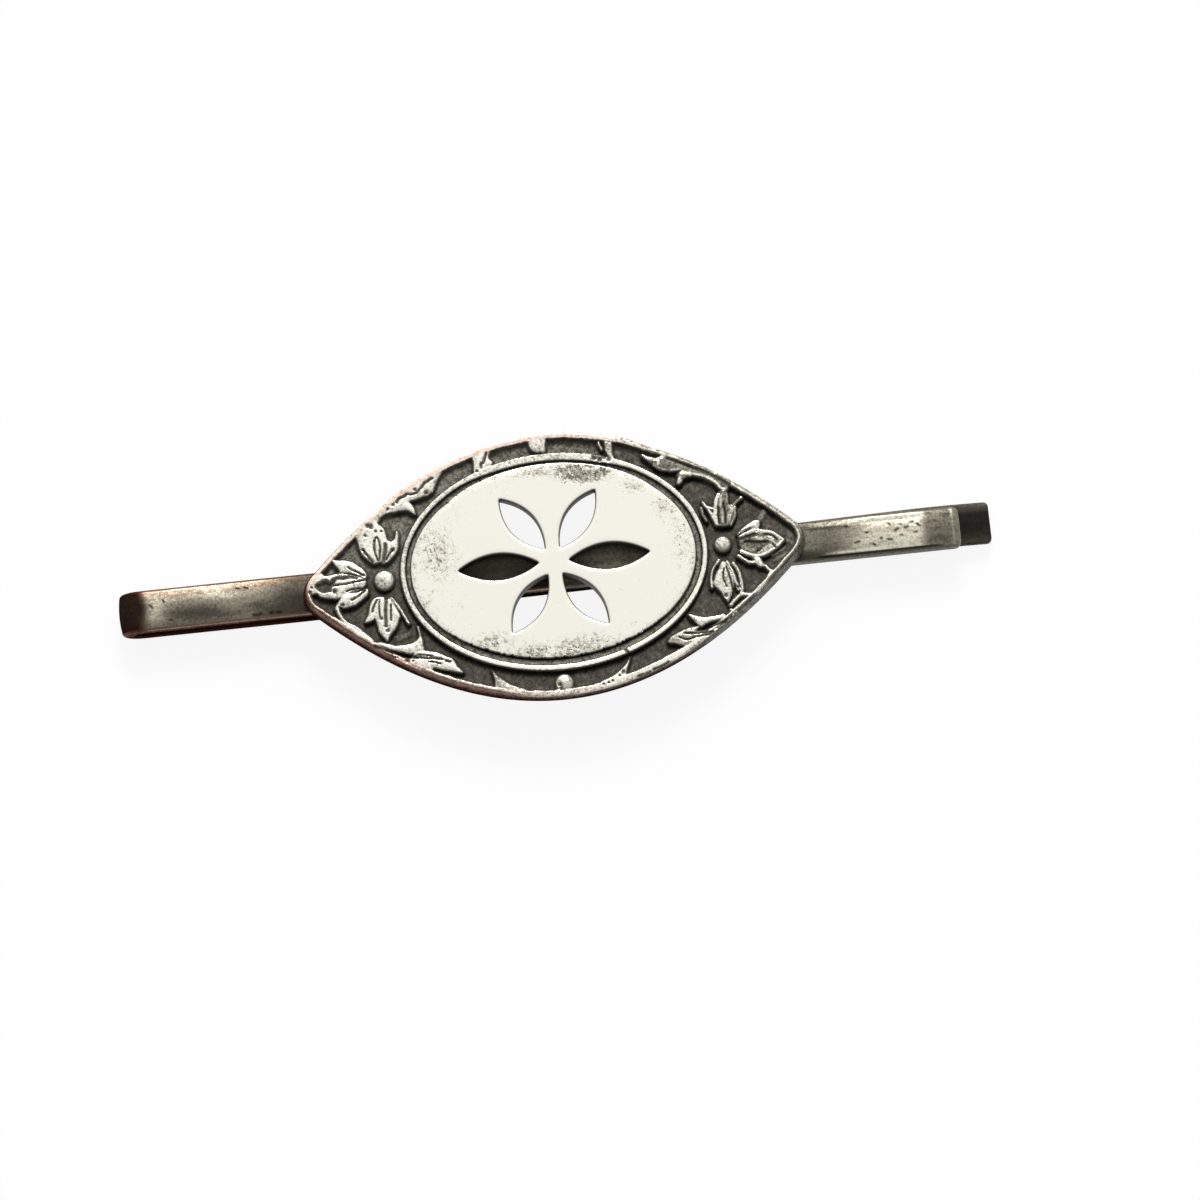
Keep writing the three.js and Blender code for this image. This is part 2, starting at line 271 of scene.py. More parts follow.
RIM_OUT = RIM_SPREAD * worn_low(OUTLINE) + RIM_CROWN * crowned(OUTLINE)
TOP_EDGE = OUTLINE + RIM_OUT[:, None] * outward(OUTLINE)


def ring_rise(points):
    """Height of the points on the oval, from -1 at the bottom to 1 at the top."""
    x, y = points[:, 0] / RING_A, points[:, 1] / RING_B
    return y / np.maximum(np.hypot(x, y), 1e-9)


def ring_land(rise):
    """Width of the ring, which is broader along the top."""
    return RING_LAND + RING_TOP * ease(rise, 0.8, 0.98)


# Ornament of the border. Each raised form has its wear, from 0 for black to 1 for bright, and its outline.

FORMS = [
    # left flower, petal towards the tip: upper lobe, middle lobe, lower lobe
    (1, [(-12.12, 0.35), (-12.2, 0.62), (-12.45, 0.9), (-12.8, 1.2), (-13.2, 1.38), (-13.6, 1.48),
        (-14, 1.52), (-14.3, 1.6), (-14.1, 1.2), (-13.88, 0.9), (-13.78, 0.66), (-13.3, 0.62),
        (-12.9, 0.5), (-12.55, 0.3), (-12.25, 0.12)]),
    (0.97, [(-12.2, 0), (-12.5, 0.22), (-13, 0.45), (-13.6, 0.6), (-14.3, 0.63), (-14.8, 0.58),
        (-15.1, 0.85), (-15.6, 0.75), (-15.95, 0.3), (-16, -0.3), (-15.75, -0.55), (-15.45, -0.5),
        (-15.2, -0.75), (-14.7, -0.92), (-14.2, -0.97), (-13.85, -0.9), (-13.4, -0.72), (-12.9, -0.6),
        (-12.5, -0.45), (-12.25, -0.3)]),
    (0.97, [(-12.2, -0.5), (-12.1, -0.75), (-12.25, -1), (-12.6, -1.25), (-13, -1.48), (-13.4, -1.57),
        (-13.8, -1.65), (-14.05, -1.5), (-14.25, -1.75), (-14.35, -1.55), (-14.15, -1.2), (-13.95, -0.95),
        (-13.85, -0.65), (-13.5, -0.68), (-13, -0.7), (-12.6, -0.62)]),
    # left flower, upper petal and lower petal
    (1, [(-11.6, 1.05), (-11.95, 1.3), (-12.25, 1.65), (-12.4, 2.05), (-12.48, 2.5), (-12.6, 2.8),
        (-12.85, 3), (-12.3, 3.55), (-11.6, 4), (-11.15, 4), (-11.05, 3.6), (-10.75, 3.25),
        (-10.62, 2.95), (-10.58, 2.65), (-10.45, 2.4), (-10.3, 2.38), (-10.08, 2.55), (-9.95, 3),
        (-9.83, 2.9), (-9.85, 2.3), (-9.98, 1.75), (-10.3, 1.35), (-10.65, 1.05), (-10.9, 0.98),
        (-11.2, 1.1)]),
    (1, [(-11.75, -1.15), (-12, -1.4), (-12.15, -1.75), (-12.3, -2.2), (-12.5, -2.6), (-12.3, -2.68),
        (-12, -2.6), (-11.85, -2.55), (-11.72, -3), (-11.65, -3.4), (-11.4, -3.8), (-11.2, -4.05),
        (-11.05, -3.75), (-10.75, -3.45), (-10.5, -3.15), (-10.35, -2.75), (-10.2, -2.5), (-10.4, -2),
        (-10.6, -1.6), (-10.8, -1.3), (-11, -1.35), (-11.2, -1.15), (-11.5, -1.1)]),
    # upper left, worn into the rim: hook leaf and long leaf in one
    (0.96, [(-11.08, 3.68), (-10.85, 3.94), (-10.5, 4.12), (-10, 4.2), (-9.5, 4.26), (-9.1, 4.24),
        (-8.85, 4.08), (-8.6, 3.93), (-8.57, 4.15), (-8.7, 4.5), (-8.9, 4.8), (-8.4, 4.88), (-8, 5),
        (-7.6, 5.12), (-7.3, 5.35), (-7.08, 5.75), (-6.85, 6.15), (-6.6, 6.5), (-6.2, 6.78), (-6.6, 7.1),
        (-7.5, 6.6), (-8.5, 6.1), (-9.5, 5.5), (-10.3, 5), (-11, 4.55), (-11.6, 4.1)]),
    # top: left bridge, tab, right bridge
    (1, [(-4.52, 7.35), (-4.52, 6.8), (-4.55, 6.2), (-4.1, 6.2), (-3.5, 6.45), (-3.25, 6.75), (-3.45, 7),
        (-3.5, 7.25), (-3.35, 7.6), (-4, 7.75)]),
    (0.95, [(-0.88, 8.2), (-0.86, 7.85), (-0.83, 7.55), (-0.7, 7.3), (-0.5, 7.17), (-0.1, 7.1), (0.18, 7.12),
        (0.24, 7.5), (0.3, 7.95), (0.32, 8.2)]),
    (0.8, [(4.05, 7.4), (4.5, 7.3), (4.52, 6.8), (4.58, 6.2), (4.9, 5.95), (4.4, 6), (4.2, 6.4),
        (4.12, 6.75)]),
    # upper right: long leaf, hook leaf and its tooth
    (0.55, [(6.35, 6.25), (6.6, 5.95), (6.95, 5.6), (7.3, 5.3), (7.8, 5.05), (8.3, 4.98), (8.75, 4.98),
        (9.2, 4.95), (9.2, 5.2), (8.8, 5.5), (8.2, 5.85), (7.8, 6.15), (7.5, 6), (7.1, 5.95),
        (6.7, 6.15)]),
    (0.5, [(8.7, 4.75), (8.8, 5), (9.2, 5.12), (9.6, 5.1), (10.2, 4.82), (10.8, 4.48), (11.4, 4.05),
        (11.75, 3.75), (11.6, 3.48), (11.3, 3.55), (11.12, 3.7), (10.9, 4), (10.46, 4.3), (9.87, 4.53),
        (9.3, 4.68)]),
    (0.9, [(8.42, 4.15), (8.48, 4.45), (8.62, 4.62), (8.82, 4.6), (8.8, 4.3), (8.62, 4.1)]),
    (0.6, [(8.5, 4.6), (8.6, 4.85), (8.9, 5), (9.6, 4.9), (9.5, 4.6), (9.1, 4.5), (8.8, 4.4)]),
    # right flower, upper petal
    (0.58, [(10.75, 1.2), (10.66, 1.8), (10.68, 2.3), (10.85, 2.9), (11.08, 3.35), (11.5, 3.5), (11.52, 2.9),
        (11.6, 2.5), (11.95, 2.45), (12.02, 2), (11.9, 1.6), (11.6, 1.2), (11.2, 1.1)]),
    # right flower, petal towards the tip: upper lobe, inside of the middle lobe, lower lobe
    (1, [(11.92, 0.5), (12.3, 0.85), (12.75, 1.15), (13.05, 1.28), (13.45, 1.27), (13.48, 1.05),
        (13.32, 0.7), (12.95, 0.7), (12.5, 0.68), (12.15, 0.5)]),
    (0.52, [(12.05, 0.3), (12.6, 0.5), (13.2, 0.6), (13.9, 0.45), (14.5, 0.1), (14.7, -0.2), (14.2, -0.65),
        (13.6, -0.95), (13, -1), (12.5, -0.8), (12.1, -0.5)]),
    (0.97, [(12.85, -1), (13.2, -1.1), (13.35, -1.4), (13.55, -1.7), (13.2, -1.75), (12.95, -1.55),
        (12.75, -1.35)]),
    # right flower, lower petal
    (0.94, [(10.75, -1.15), (10.5, -1.6), (10.2, -2.1), (10.08, -2.5), (10.25, -2.8), (10.5, -3.1),
        (10.65, -3.45), (10.85, -3.75), (11, -3.6), (11.2, -3.2), (11.35, -2.8), (11.4, -2.3),
        (11.2, -1.7), (11, -1.2)]),
    # lower left: hook leaf, long leaf
    (1, [(-12.3, -3.95), (-11.8, -4.02), (-11.4, -4.12), (-11, -4.26), (-10.6, -4.36), (-10.15, -4.38),
        (-9.71, -4.31), (-9.4, -4.18), (-9.2, -4.03), (-9.03, -3.92), (-8.93, -4.1), (-8.93, -4.5),
        (-8.95, -4.85), (-9.3, -5), (-9.8, -4.98), (-10.4, -4.82), (-10.96, -4.62), (-11.5, -4.4),
        (-12, -4.16)]),
    (1, [(-9.4, -4.8), (-8.8, -4.88), (-8.3, -5), (-7.85, -5.2), (-7.4, -5.45), (-7.15, -5.6),
        (-6.9, -6.05), (-6.55, -6.52), (-7.1, -6.42), (-7.8, -6.22), (-8.4, -6.05), (-8.7, -6.3),
        (-9.5, -6), (-10.3, -5.6), (-10.9, -5.2), (-10.4, -5.15), (-9.8, -5.25)]),
    # bottom: left thorn, right thorn, leaf along the rim
    (0.8, [(-4.74, -6.58), (-4.4, -6.95), (-4.15, -7.2), (-3.8, -7.45), (-3.3, -7.75), (-2.7, -8),
        (-2, -8.25), (-1.3, -8.42), (-0.9, -8.5), (-0.9, -8.7), (-1.6, -8.65), (-2.6, -8.45), (-3.5, -8.2),
        (-4.2, -7.95), (-4.6, -7.75), (-4.58, -7.2), (-4.66, -6.9)]),
    (1, [(4.22, -6.66), (4.07, -7.1), (3.9, -7.6), (3.75, -7.85), (3.9, -8.2), (3, -8.5), (2, -8.65),
        (0.9, -8.7), (0.9, -8.55), (1.4, -8.4), (1.9, -8.15), (2.4, -7.95), (3, -7.7), (3.5, -7.4),
        (3.9, -7.05)]),
    (0.78, [(3.8, -7.85), (4.4, -7.75), (5, -7.5), (5.6, -7.25), (6.1, -7), (6.5, -6.8), (6.9, -6.7),
        (7.35, -6.7), (7.62, -6.62), (7.45, -6.95), (7.1, -7.2), (6.6, -7.45), (5.8, -7.75), (5, -8),
        (4.1, -8.2)]),
    # lower right: long leaf, hook leaf
    (0.82, [(6.75, -5.95), (6.95, -5.62), (7.4, -5.42), (8, -5.22), (8.5, -5.12), (8.9, -5.15),
        (8.7, -5.35), (9.2, -5.45), (9.8, -5.4), (10.4, -5.15), (10.95, -4.85), (10.9, -5.15), (10.2, -5.65),
        (9.5, -6.05), (8.9, -6.35), (8.35, -6.5), (7.8, -6.32), (7.2, -6.1)]),
    (1, [(8.22, -4.3), (8.7, -4.42), (9.1, -4.55), (9.6, -4.6), (10.1, -4.55), (10.55, -4.48),
        (10.65, -4.68), (10.9, -4.75), (10.6, -4.82), (10, -4.87), (9.4, -5.02), (9, -5.17),
        (8.75, -5), (8.5, -4.7)]),
]

# Narrow ridges: wear, half width, line.
RIDGES = [
    # left flower, loose strands of the lower petal
    (1, 0.12, [(-10.65, -1.3), (-10.3, -1.85), (-10, -2.4), (-9.72, -3)]),
    (0.8, 0.09, [(-9.18, -3.3), (-9.1, -3.7), (-9.1, -4)]),
    # lower left, along the rim from the petal to the hook leaf
    (0.97, 0.17, [(-14.2, -1.6), (-14.05, -2.1), (-13.7, -2.6), (-13, -3.08), (-12.5, -3.6),
        (-12.14, -3.93)]),
    # top, right bridge
    (0.9, 0.1, [(3.68, 7.35), (3.75, 7.1), (3.84, 6.9)]),
    (0.9, 0.09, [(4.12, 6.85), (4.25, 6.5), (4.5, 6.2)]),
    # upper right, long leaf
    (1, 0.13, [(6.42, 6.25), (6.75, 6.03), (7.15, 5.9), (7.5, 5.95), (7.75, 6.15)]),
    (0.9, 0.1, [(7.45, 5.9), (7.38, 5.55)]),
    (0.85, 0.1, [(7.1, 5.55), (7.4, 5.3), (7.8, 5.12), (8.3, 5.08), (8.7, 5.1)]),
    # upper right, hook leaf
    (1, 0.14, [(8.85, 4.82), (9.3, 4.76), (9.87, 4.58), (10.46, 4.34), (10.9, 4.02), (11.12, 3.7),
        (11.3, 3.55), (11.58, 3.5)]),
    # right flower, upper petal
    (1, 0.14, [(9.97, 2.78), (10.12, 2.5), (10.35, 2.15), (10.55, 1.7), (10.7, 1.25)]),
    (1, 0.12, [(10.2, 2.45), (10.45, 2.35), (10.65, 2.3)]),
    (1, 0.14, [(10.72, 1.3), (10.66, 1.8), (10.68, 2.3), (10.8, 2.8), (10.98, 3.2)]),
    (0.72, 0.1, [(9.82, 2.45), (9.9, 2), (10.08, 1.6)]),
    (0.76, 0.1, [(11.15, 1.4), (11.12, 1.9), (11.1, 2.5), (11.15, 3.1)]),
    (0.85, 0.12, [(11.45, 1.35), (11.58, 1.75), (11.75, 2.1), (11.85, 2.35)]),
    (0.72, 0.08, [(11.62, 1.15), (11.93, 1.7), (12.02, 2.3)]),
    (0.7, 0.13, [(11.85, 2.3), (12.1, 2.6), (12.3, 2.75)]),
    (0.9, 0.15, [(12.4, 2.82), (12.46, 2.86)]),
    (0.72, 0.09, [(11.55, 2.6), (11.55, 3.1), (11.5, 3.5)]),
    # right flower, middle and lower lobe
    (1, 0.14, [(12.1, 0.38), (12.6, 0.55), (13.15, 0.65), (13.7, 0.55), (14.2, 0.38), (14.6, 0.1),
        (14.88, -0.15)]),
    (1, 0.15, [(14.88, -0.15), (14.6, -0.38), (14.1, -0.7), (13.6, -0.95), (13.1, -1.02), (12.7, -0.9),
        (12.3, -0.75), (12.05, -0.6)]),
    (0.88, 0.2, [(13.3, -0.75), (13.8, -0.6), (14.25, -0.35)]),
    (0.78, 0.16, [(13.1, 0.15), (13.5, 0.08), (13.9, 0.05), (14.2, -0.1)]),
    (0.68, 0.12, [(12.4, -0.5), (12.9, -0.6)]),
    (1, 0.13, [(11.85, -0.88), (12.2, -1.13), (12.5, -1.33), (12.85, -1.42)]),
    # right flower, lower petal
    (1, 0.13, [(10.58, -1.05), (10.25, -1.45), (10.02, -1.95), (9.94, -2.45), (9.97, -2.7)]),
    (1, 0.15, [(11.12, -1.2), (11.35, -1.8), (11.52, -2.4), (11.64, -3)]),
    (1, 0.15, [(11.48, -1.3), (11.72, -1.75), (11.86, -2.3), (11.9, -2.9), (11.75, -3.35)]),
    # lower right, branch from the lower petal to the rim
    (1, 0.16, [(11, -3.98), (11.4, -3.65), (11.8, -3.4), (12.3, -3.43), (12.8, -3.28), (13.3, -2.85),
        (13.7, -2.35), (13.9, -2.1)]),
    (1, 0.13, [(13.55, -1.7), (13.86, -2.1)]),
    (0.9, 0.1, [(11, -4.28), (11.35, -4.5)]),
    (0.9, 0.1, [(11.2, -4.3), (11.12, -4.7)]),
]

# Low strands on the ground: wear, half width, line.
FAINT = [
    (0.54, 0.22, [(13.5, 1.35), (13.72, 1.62), (13.8, 1.8)]),
    (0.52, 0.12, [(14.95, -0.1), (15.25, -0.25), (15.5, -0.4)]),
    (0.5, 0.09, [(14.05, -1), (14.5, -0.85), (14.95, -0.6)]),
    (0.5, 0.09, [(14.1, -1.4), (14.6, -1.2), (15, -0.95)]),
    (0.5, 0.2, [(-10.6, -3.85), (-10.2, -3.8), (-9.8, -3.7)]),
]

# Cuts into the raised forms: half width, line.
CUTS = [
    # left flower, petal towards the tip
    (0.07, [(-13.25, 0.95), (-12.9, 0.72), (-12.5, 0.45), (-12.3, 0.35)]),
    (0.13, [(-14.35, 0.24), (-14, 0.32), (-13.6, 0.3), (-13.2, 0.36), (-12.8, 0.25)]),
    (0.07, [(-14.4, -0.12), (-13.6, -0.08), (-12.8, 0), (-12.3, 0.05)]),
    (0.06, [(-13.5, -0.55), (-13.1, -0.48), (-12.6, -0.45)]),
    (0.07, [(-13.25, -1.15), (-12.9, -1), (-12.5, -0.72), (-12.3, -0.6)]),
    # left flower, upper petal
    (0.08, [(-12.15, 2), (-11.95, 1.6), (-11.65, 1.15)]),
    (0.06, [(-11.42, 2.45), (-11.45, 2), (-11.38, 1.6), (-11.28, 1.2)]),
    (0.06, [(-11.42, 2.45), (-11.25, 2.7), (-11.12, 2.5), (-11.08, 1.9), (-11.18, 1.3)]),
    (0.13, [(-10.72, 2.2), (-10.78, 1.7), (-10.95, 1.1)]),
    (0.06, [(-10.2, 1.85), (-10.4, 1.68), (-10.75, 1.2)]),
    # left flower, lower petal
    (0.06, [(-11.62, -1.3), (-11.85, -1.7), (-12, -2.05)]),
    (0.04, [(-11.48, -1.3), (-11.52, -2), (-11.55, -2.45)]),
    (0.1, [(-11.02, -1.2), (-11.1, -1.9), (-11.18, -2.6), (-11.18, -3.05)]),
    (0.05, [(-10.75, -1.7), (-10.78, -2.2), (-10.85, -2.7)]),
    # upper left, vein of the worn leaves
    (0.08, [(-9.73, 4.82), (-9.55, 5.03), (-9.14, 5.2), (-9, 5.3), (-8.67, 5.26), (-8.38, 5.32),
        (-8.14, 5.53), (-7.85, 5.82), (-7.55, 6), (-7.26, 6.15)]),
    # left bridge
    (0.08, [(-3.64, 7.42), (-3.74, 7.1), (-3.86, 6.85), (-4.02, 6.75), (-4.06, 6.52)]),
    # upper right, between the leaves and the rim
    (0.1, [(8, 5.85), (8.6, 5.6), (9.2, 5.3), (9.9, 4.97), (10.6, 4.58), (11.3, 4.12), (11.8, 3.78)]),
    # right flower
    (0.06, [(10.9, 1.3), (10.88, 1.8), (10.92, 2.4)]),
    (0.06, [(11.3, 1.3), (11.32, 1.9), (11.3, 2.6)]),
    (0.07, [(12, 0.46), (12.4, 0.64), (12.85, 0.78)]),
    (0.12, [(12.15, 0.2), (12.7, 0.3), (13.1, 0.36)]),
    (0.1, [(12.4, -0.05), (13, -0.12), (13.85, -0.2)]),
    (0.06, [(13.7, 0.35), (14.2, 0.18), (14.5, -0.08)]),
    (0.07, [(13.15, -0.72), (13.4, -0.6)]),
    (0.08, [(12.15, -0.92), (12.5, -1.1), (12.8, -1.22)]),
    (0.06, [(14.15, -0.35), (14.33, -0.58)]),
    (0.07, [(10.42, -1.4), (10.2, -1.8), (10.07, -2.3)]),
    (0.05, [(10.85, -1.6), (10.75, -2.2), (10.9, -2.8)]),
    (0.06, [(11.02, -1.5), (11.2, -2.3), (11.27, -3)]),
    (0.05, [(11.3, -1.4), (11.55, -2), (11.68, -2.6)]),
    # lower left leaves
    (0.12, [(-12, -4.28), (-11.5, -4.52), (-10.82, -4.82), (-10.04, -5.1), (-9.41, -5.28)]),
    (0.08, [(-9.6, -5.2), (-9, -5.32), (-8.4, -5.42), (-7.8, -5.55)]),
    (0.05, [(-9.4, -5.1), (-8.9, -5.15), (-8.4, -5.28)]),
    (0.07, [(-8.65, -5.58), (-8.35, -5.68)]),
    (0.06, [(-8.2, -5.72), (-7.95, -5.8)]),
    (0.08, [(-7.6, -5.64), (-7.3, -5.76)]),
    # lower right leaves
    (0.13, [(10.6, -4.98), (10, -5.12), (9.3, -5.28), (8.75, -5.4)]),
    (0.06, [(9.7, -5.55), (9, -5.57), (8.2, -5.52), (7.9, -5.5)]),
    (0.06, [(7.5, -5.72), (8, -5.9), (8.5, -5.8), (9.2, -5.75), (9.6, -5.62)]),
    # bottom right, broken line below the rim leaf
    (0.07, [(4.6, -7.92), (5.1, -7.85), (5.4, -7.73)]),
    (0.07, [(5.62, -7.6), (6.1, -7.46), (6.35, -7.38), (6.65, -7.25)]),
    # ring, a nick
    (0.09, [(3.95, -6.1), (4.15, -6.35), (4.35, -6.6)]),
]

# Round pits: place and radius.
PITS = [
    (-14.25, -0.5, 0.12), (-14.55, -0.42, 0.1), (-13.85, -1.42, 0.1), (-15.88, -0.42, 0.1),
    (-15.7, -0.1, 0.06), (-11.72, 3.5, 0.12), (-11.55, 3.44, 0.12), (-11.95, 2.9, 0.08),
    (-11.25, 3.1, 0.07), (-10.9, 3.05, 0.06), (-12.2, 2, 0.07), (-10.32, 1.78, 0.1), (-11.45, -2.55, 0.08),
    (-11.1, -3.35, 0.1), (-9.95, 4.68, 0.08), (-10.35, 4.45, 0.07), (-8.45, 5.55, 0.08), (-7.75, 5.26, 0.1),
    (-10.05, -5.38, 0.13), (-9.7, -5.45, 0.06), (-0.45, -7.95, 0.12), (-0.4, -8.2, 0.1), (3.7, -7.58, 0.12),
    (3.42, -7.76, 0.07), (2.95, -8.05, 0.06), (2.7, -8.12, 0.06), (2.35, -8.2, 0.06), (10.8, -3.35, 0.1),
    (11.35, -3, 0.08), (11.62, -2.9, 0.1), (3.3, 6.35, 0.12), (3.65, 6.25, 0.14), (3.95, 6.4, 0.14),
    (4.2, 6.2, 0.12), (-4.35, 6.32, 0.07),
]

# Round beads: place, radius, wear.
BEADS = [(-11.02, -0.08, 0.68, 0.94), (10.95, -0.02, 0.56, 0.86), (-0.16, -7.86, 0.62, 0.94)]

# Places where the ground shows through a form.
HOLES = [
    [(-15.44, -0.1), (-15.3, 0.14), (-15.1, 0.2), (-14.95, 0.32), (-14.7, 0.3), (-14.5, 0.14), (-14.2, 0.22),
        (-14.3, -0.02), (-14.48, -0.2), (-14.6, -0.42), (-14.95, -0.47), (-15.2, -0.36)],
]


def on_sheet(points):
    """Points of the drawing, which is seen at the lean of the view, laid flat on the plaque."""
    return np.array(points, float) * np.array([1, SHEET_STRETCH])


class Relief:
    """Relief at points of the sheet: height above the ground, from 0 to 1, tone, from 0 for black to 1 for
    bright, and the red tint of a painted reflection of a reddish surround."""

    FOOT = 0.18
    RIDGE_FOOT = 0.1
    SHOULDER = 0.05
    FAINT_LEVEL = 0.15
    FORM_TONE = 0.93
    DOME = 0.08
    DOME_REACH = 0.35
    MARGIN = 0.5
    FAR = 9.0
    # Painted cast shadow below raised edges: grid cell, steps, fall of the light per step, height gap for
    # full shadow.
    SHADOW_CELL = 0.08
    SHADOW_STEPS = 5
    SHADOW_FALL = 0.17
    SHADOW_FULL = 0.6

    def __init__(self, points):
        self.even = points
        self.points = points + self.wobble(points)
        self.x, self.y = self.points.T
        self.lower = ease(self.y, 0.7, -0.7)
        self.from_edge = depth_inside(self.points, TOP_EDGE)
        self.height = np.zeros(len(points))
        self.tone = np.zeros(len(points))
        self.red_reflection = np.zeros(len(points))
        self.near = np.full(len(points), self.FAR)

    def wobble(self, points):
        """Small shifts that make the edges as uneven as worn casting."""
        x, y = points.T
        across = 0.014 * np.sin(5.1 * y + 2.3 * x) + 0.008 * np.sin(11.7 * y - 6.1 * x + 1)
        up = 0.014 * np.sin(4.7 * x - 2.9 * y + 2) + 0.008 * np.sin(12.3 * x + 5.3 * y)
        return np.stack([across, up], axis=1)

    def around(self, path, margin):
        low, high = path.min(axis=0) - margin, path.max(axis=0) + margin
        return np.flatnonzero(((self.points >= low) & (self.points <= high)).all(axis=1))

    def quarters(self, upper_left, upper_right, lower_left, lower_right):
        """A value that passes smoothly from quarter to quarter of the plaque."""
        right = ease(self.x, -2, 7)
        upper = upper_left + (upper_right - upper_left) * right
        lower = lower_left + (lower_right - lower_left) * right
        return upper + (lower - upper) * self.lower

    def raise_form(self, which, depth, foot, shoulder, level, wear, edge):
        """Lifts and brightens points by their depth inside a form's outline."""
        flank = ease(depth, -foot, shoulder)
        dome = 1 - self.DOME + self.DOME * np.sin(np.clip(depth / self.DOME_REACH, 0, 1) * math.pi / 2)
        self.height[which] = np.maximum(self.height[which], level * dome * flank)
        self.tone[which] = np.maximum(self.tone[which], self.FORM_TONE * wear * ease(depth, -0.06, edge))
        self.near[which] = np.minimum(self.near[which], np.maximum(-depth - 0.1, 0))

    def form(self, wear, outline):
        path = smooth_path(on_sheet(outline), True)
        which = self.around(path, self.MARGIN)
        depth = depth_inside(self.points[which], path)
        self.raise_form(which, depth, self.FOOT, self.SHOULDER, 1, wear, 0.03)

    def ridge(self, wear, half, line, level=1.0):
        path = smooth_path(on_sheet(line), False)
        which = self.around(path, self.MARGIN)
        depth = half - distance(self.points[which], path, False)
        self.raise_form(which, depth, self.RIDGE_FOOT, 0.6 * half, level, wear, 0.4 * half)

    def bead(self, x, y, radius, wear):
        middle = on_sheet([(x, y)])
        which = self.around(middle, radius + self.MARGIN)
        away = np.hypot(*(self.even[which] - middle).T)
        dome = 0.68 + 0.32 * np.sqrt(np.clip(1 - (away / radius) ** 2, 0, 1))
        self.raise_form(which, radius - away, self.RIDGE_FOOT, 0.08, 1.08 * dome, wear, 0.05)

    def lower_by(self, which, share, drop, fall):
        self.height[which] *= 1 - drop * share
        self.tone[which] *= 1 - fall * share

    def hole(self, outline):
        path = smooth_path(on_sheet(outline), True)
        which = self.around(path, 0.3)
        self.lower_by(which, ease(depth_inside(self.points[which], path), -0.1, 0.16), 0.75, 0.68)

    def sink(self, path, margin, half):
        which = self.around(path, margin)
        share = np.exp(-(distance(self.points[which], path, False) / half) ** 2)
        self.lower_by(which, share, 0.3, 0.6)

    def cut(self, half, line):
        self.sink(smooth_path(on_sheet(line), False), 4 * half, 0.75 * half)

    def pit(self, x, y, radius):
        self.sink(np.repeat(on_sheet([(x, y)]), 2, axis=0), 3 * radius, radius)

    def rim(self):
        """Raised rim along the edge, worn wide at the bottom."""
        depth = self.from_edge
        spread = worn_low(self.points)
        crown = ease(self.y, 4.4, 5.6) * ease(self.x, 7, 5)
        width = self.quarters(0.33, 0.36, 0.28, 0.36)
        width = width + 0.13 * np.exp(-((self.x + 13.2) / 1.2) ** 2) * self.lower
        width = width + 0.14 * spread + 0.05 * crown
        crest = self.quarters(0.1, 0.14, 0.16, 0.24) * (1 - 0.5 * spread)
        lift = self.quarters(0.9, 0.8, 0.75, 0.6)
        lift = lift + (0.92 - lift) * spread
        outer = ease(depth, -0.1, crest)
        inner = ease(depth, width + self.FOOT, width - 0.1 + 0.06 * crown)
        self.height = np.maximum(self.height, (lift + (1 - lift) * outer) * inner)
        band = ease(depth, width + 0.05, width - 0.06)
        self.tone = np.maximum(self.tone, band * self.rim_tone(crest, spread, crown))
        # Painted red reflection of a reddish surround, strongest on the left.
        red_reflection = self.quarters(0.24, 0.05, 0.3, 0.02) * (1 - 0.45 * spread) + 0.14 * crown
        self.red_reflection = np.maximum(self.red_reflection, ease(depth, 0.5, 0.15) * red_reflection)
        self.near = np.minimum(self.near, np.maximum(depth - width - 0.05, 0))

    def rim_tone(self, crest, spread, crown):
        """Bright crest, an outer edge that is duller below, and a dark groove in the upper right."""
        depth = self.from_edge
        edge = self.quarters(0.9, 0.84, 0.5, 0.44)
        edge = edge + (0.84 - edge) * spread - 0.1 * crown
        top = self.quarters(0.95, 0.87, 0.86, 0.95)
        groove = ease(self.x, 4.5, 7) * (1 - self.lower) * np.exp(-((depth - 0.1) / 0.04) ** 2)
        return edge + (top - edge) * ease(depth, 0.3 * crest, 0.9 * crest) - 0.35 * groove

    def ring(self):
        """Raised ring round the panel, bright nearly to its inner edge."""
        depth = -ellipse_depth(self.even, RING_A, RING_B)
        from_hole = ring_land(ring_rise(self.even)) - depth
        share = ease(depth, -self.RIDGE_FOOT, self.SHOULDER)
        self.height = np.maximum(self.height, share * (0.9 + 0.1 * ease(from_hole, -0.03, 0.04)))
        wear = self.quarters(0.94, 0.98, 0.97, 1.0) + 0.05 * ease(self.y, -5, -6.5)
        wear = wear - 0.05 * ease(self.x, -8.4, -9.4) - 0.06 * ease(self.y, 5, 6.5)
        tone = ease(depth, -0.06, 0.03) * (0.8 + 0.17 * ease(from_hole, -0.02, 0.03))
        self.tone = np.maximum(self.tone, tone * wear)
        self.near = np.minimum(self.near, np.maximum(-depth - 0.06, 0))

    def ground(self):
        """Tone of the ground, darker at the foot, and with a painted shadow cast below the forms by light
        from above.
        """
        tone = self.quarters(0.47, 0.38, 0.37, 0.38)
        tone = tone + 0.025 * ease(self.y, 4.6, 5.8) * ease(np.abs(self.x), 8, 6)
        tone = tone + 0.04 * ease(self.x, 13.4, 14.4)
        foot = tone - 0.03 * np.exp(-(self.near / 0.1) ** 2)
        by_rim = ease(self.from_edge, 1.0, 0.7) * ease(self.y, 0.5, 2) * ease(self.x, 11.4, 10.6)
        # Painted shadow, weaker just inside the upper rim.
        shade = self.quarters(0.26, 0.42, 0.32, 0.34) * (1 - 0.85 * by_rim)
        return foot - shade * self.painted_shadow()

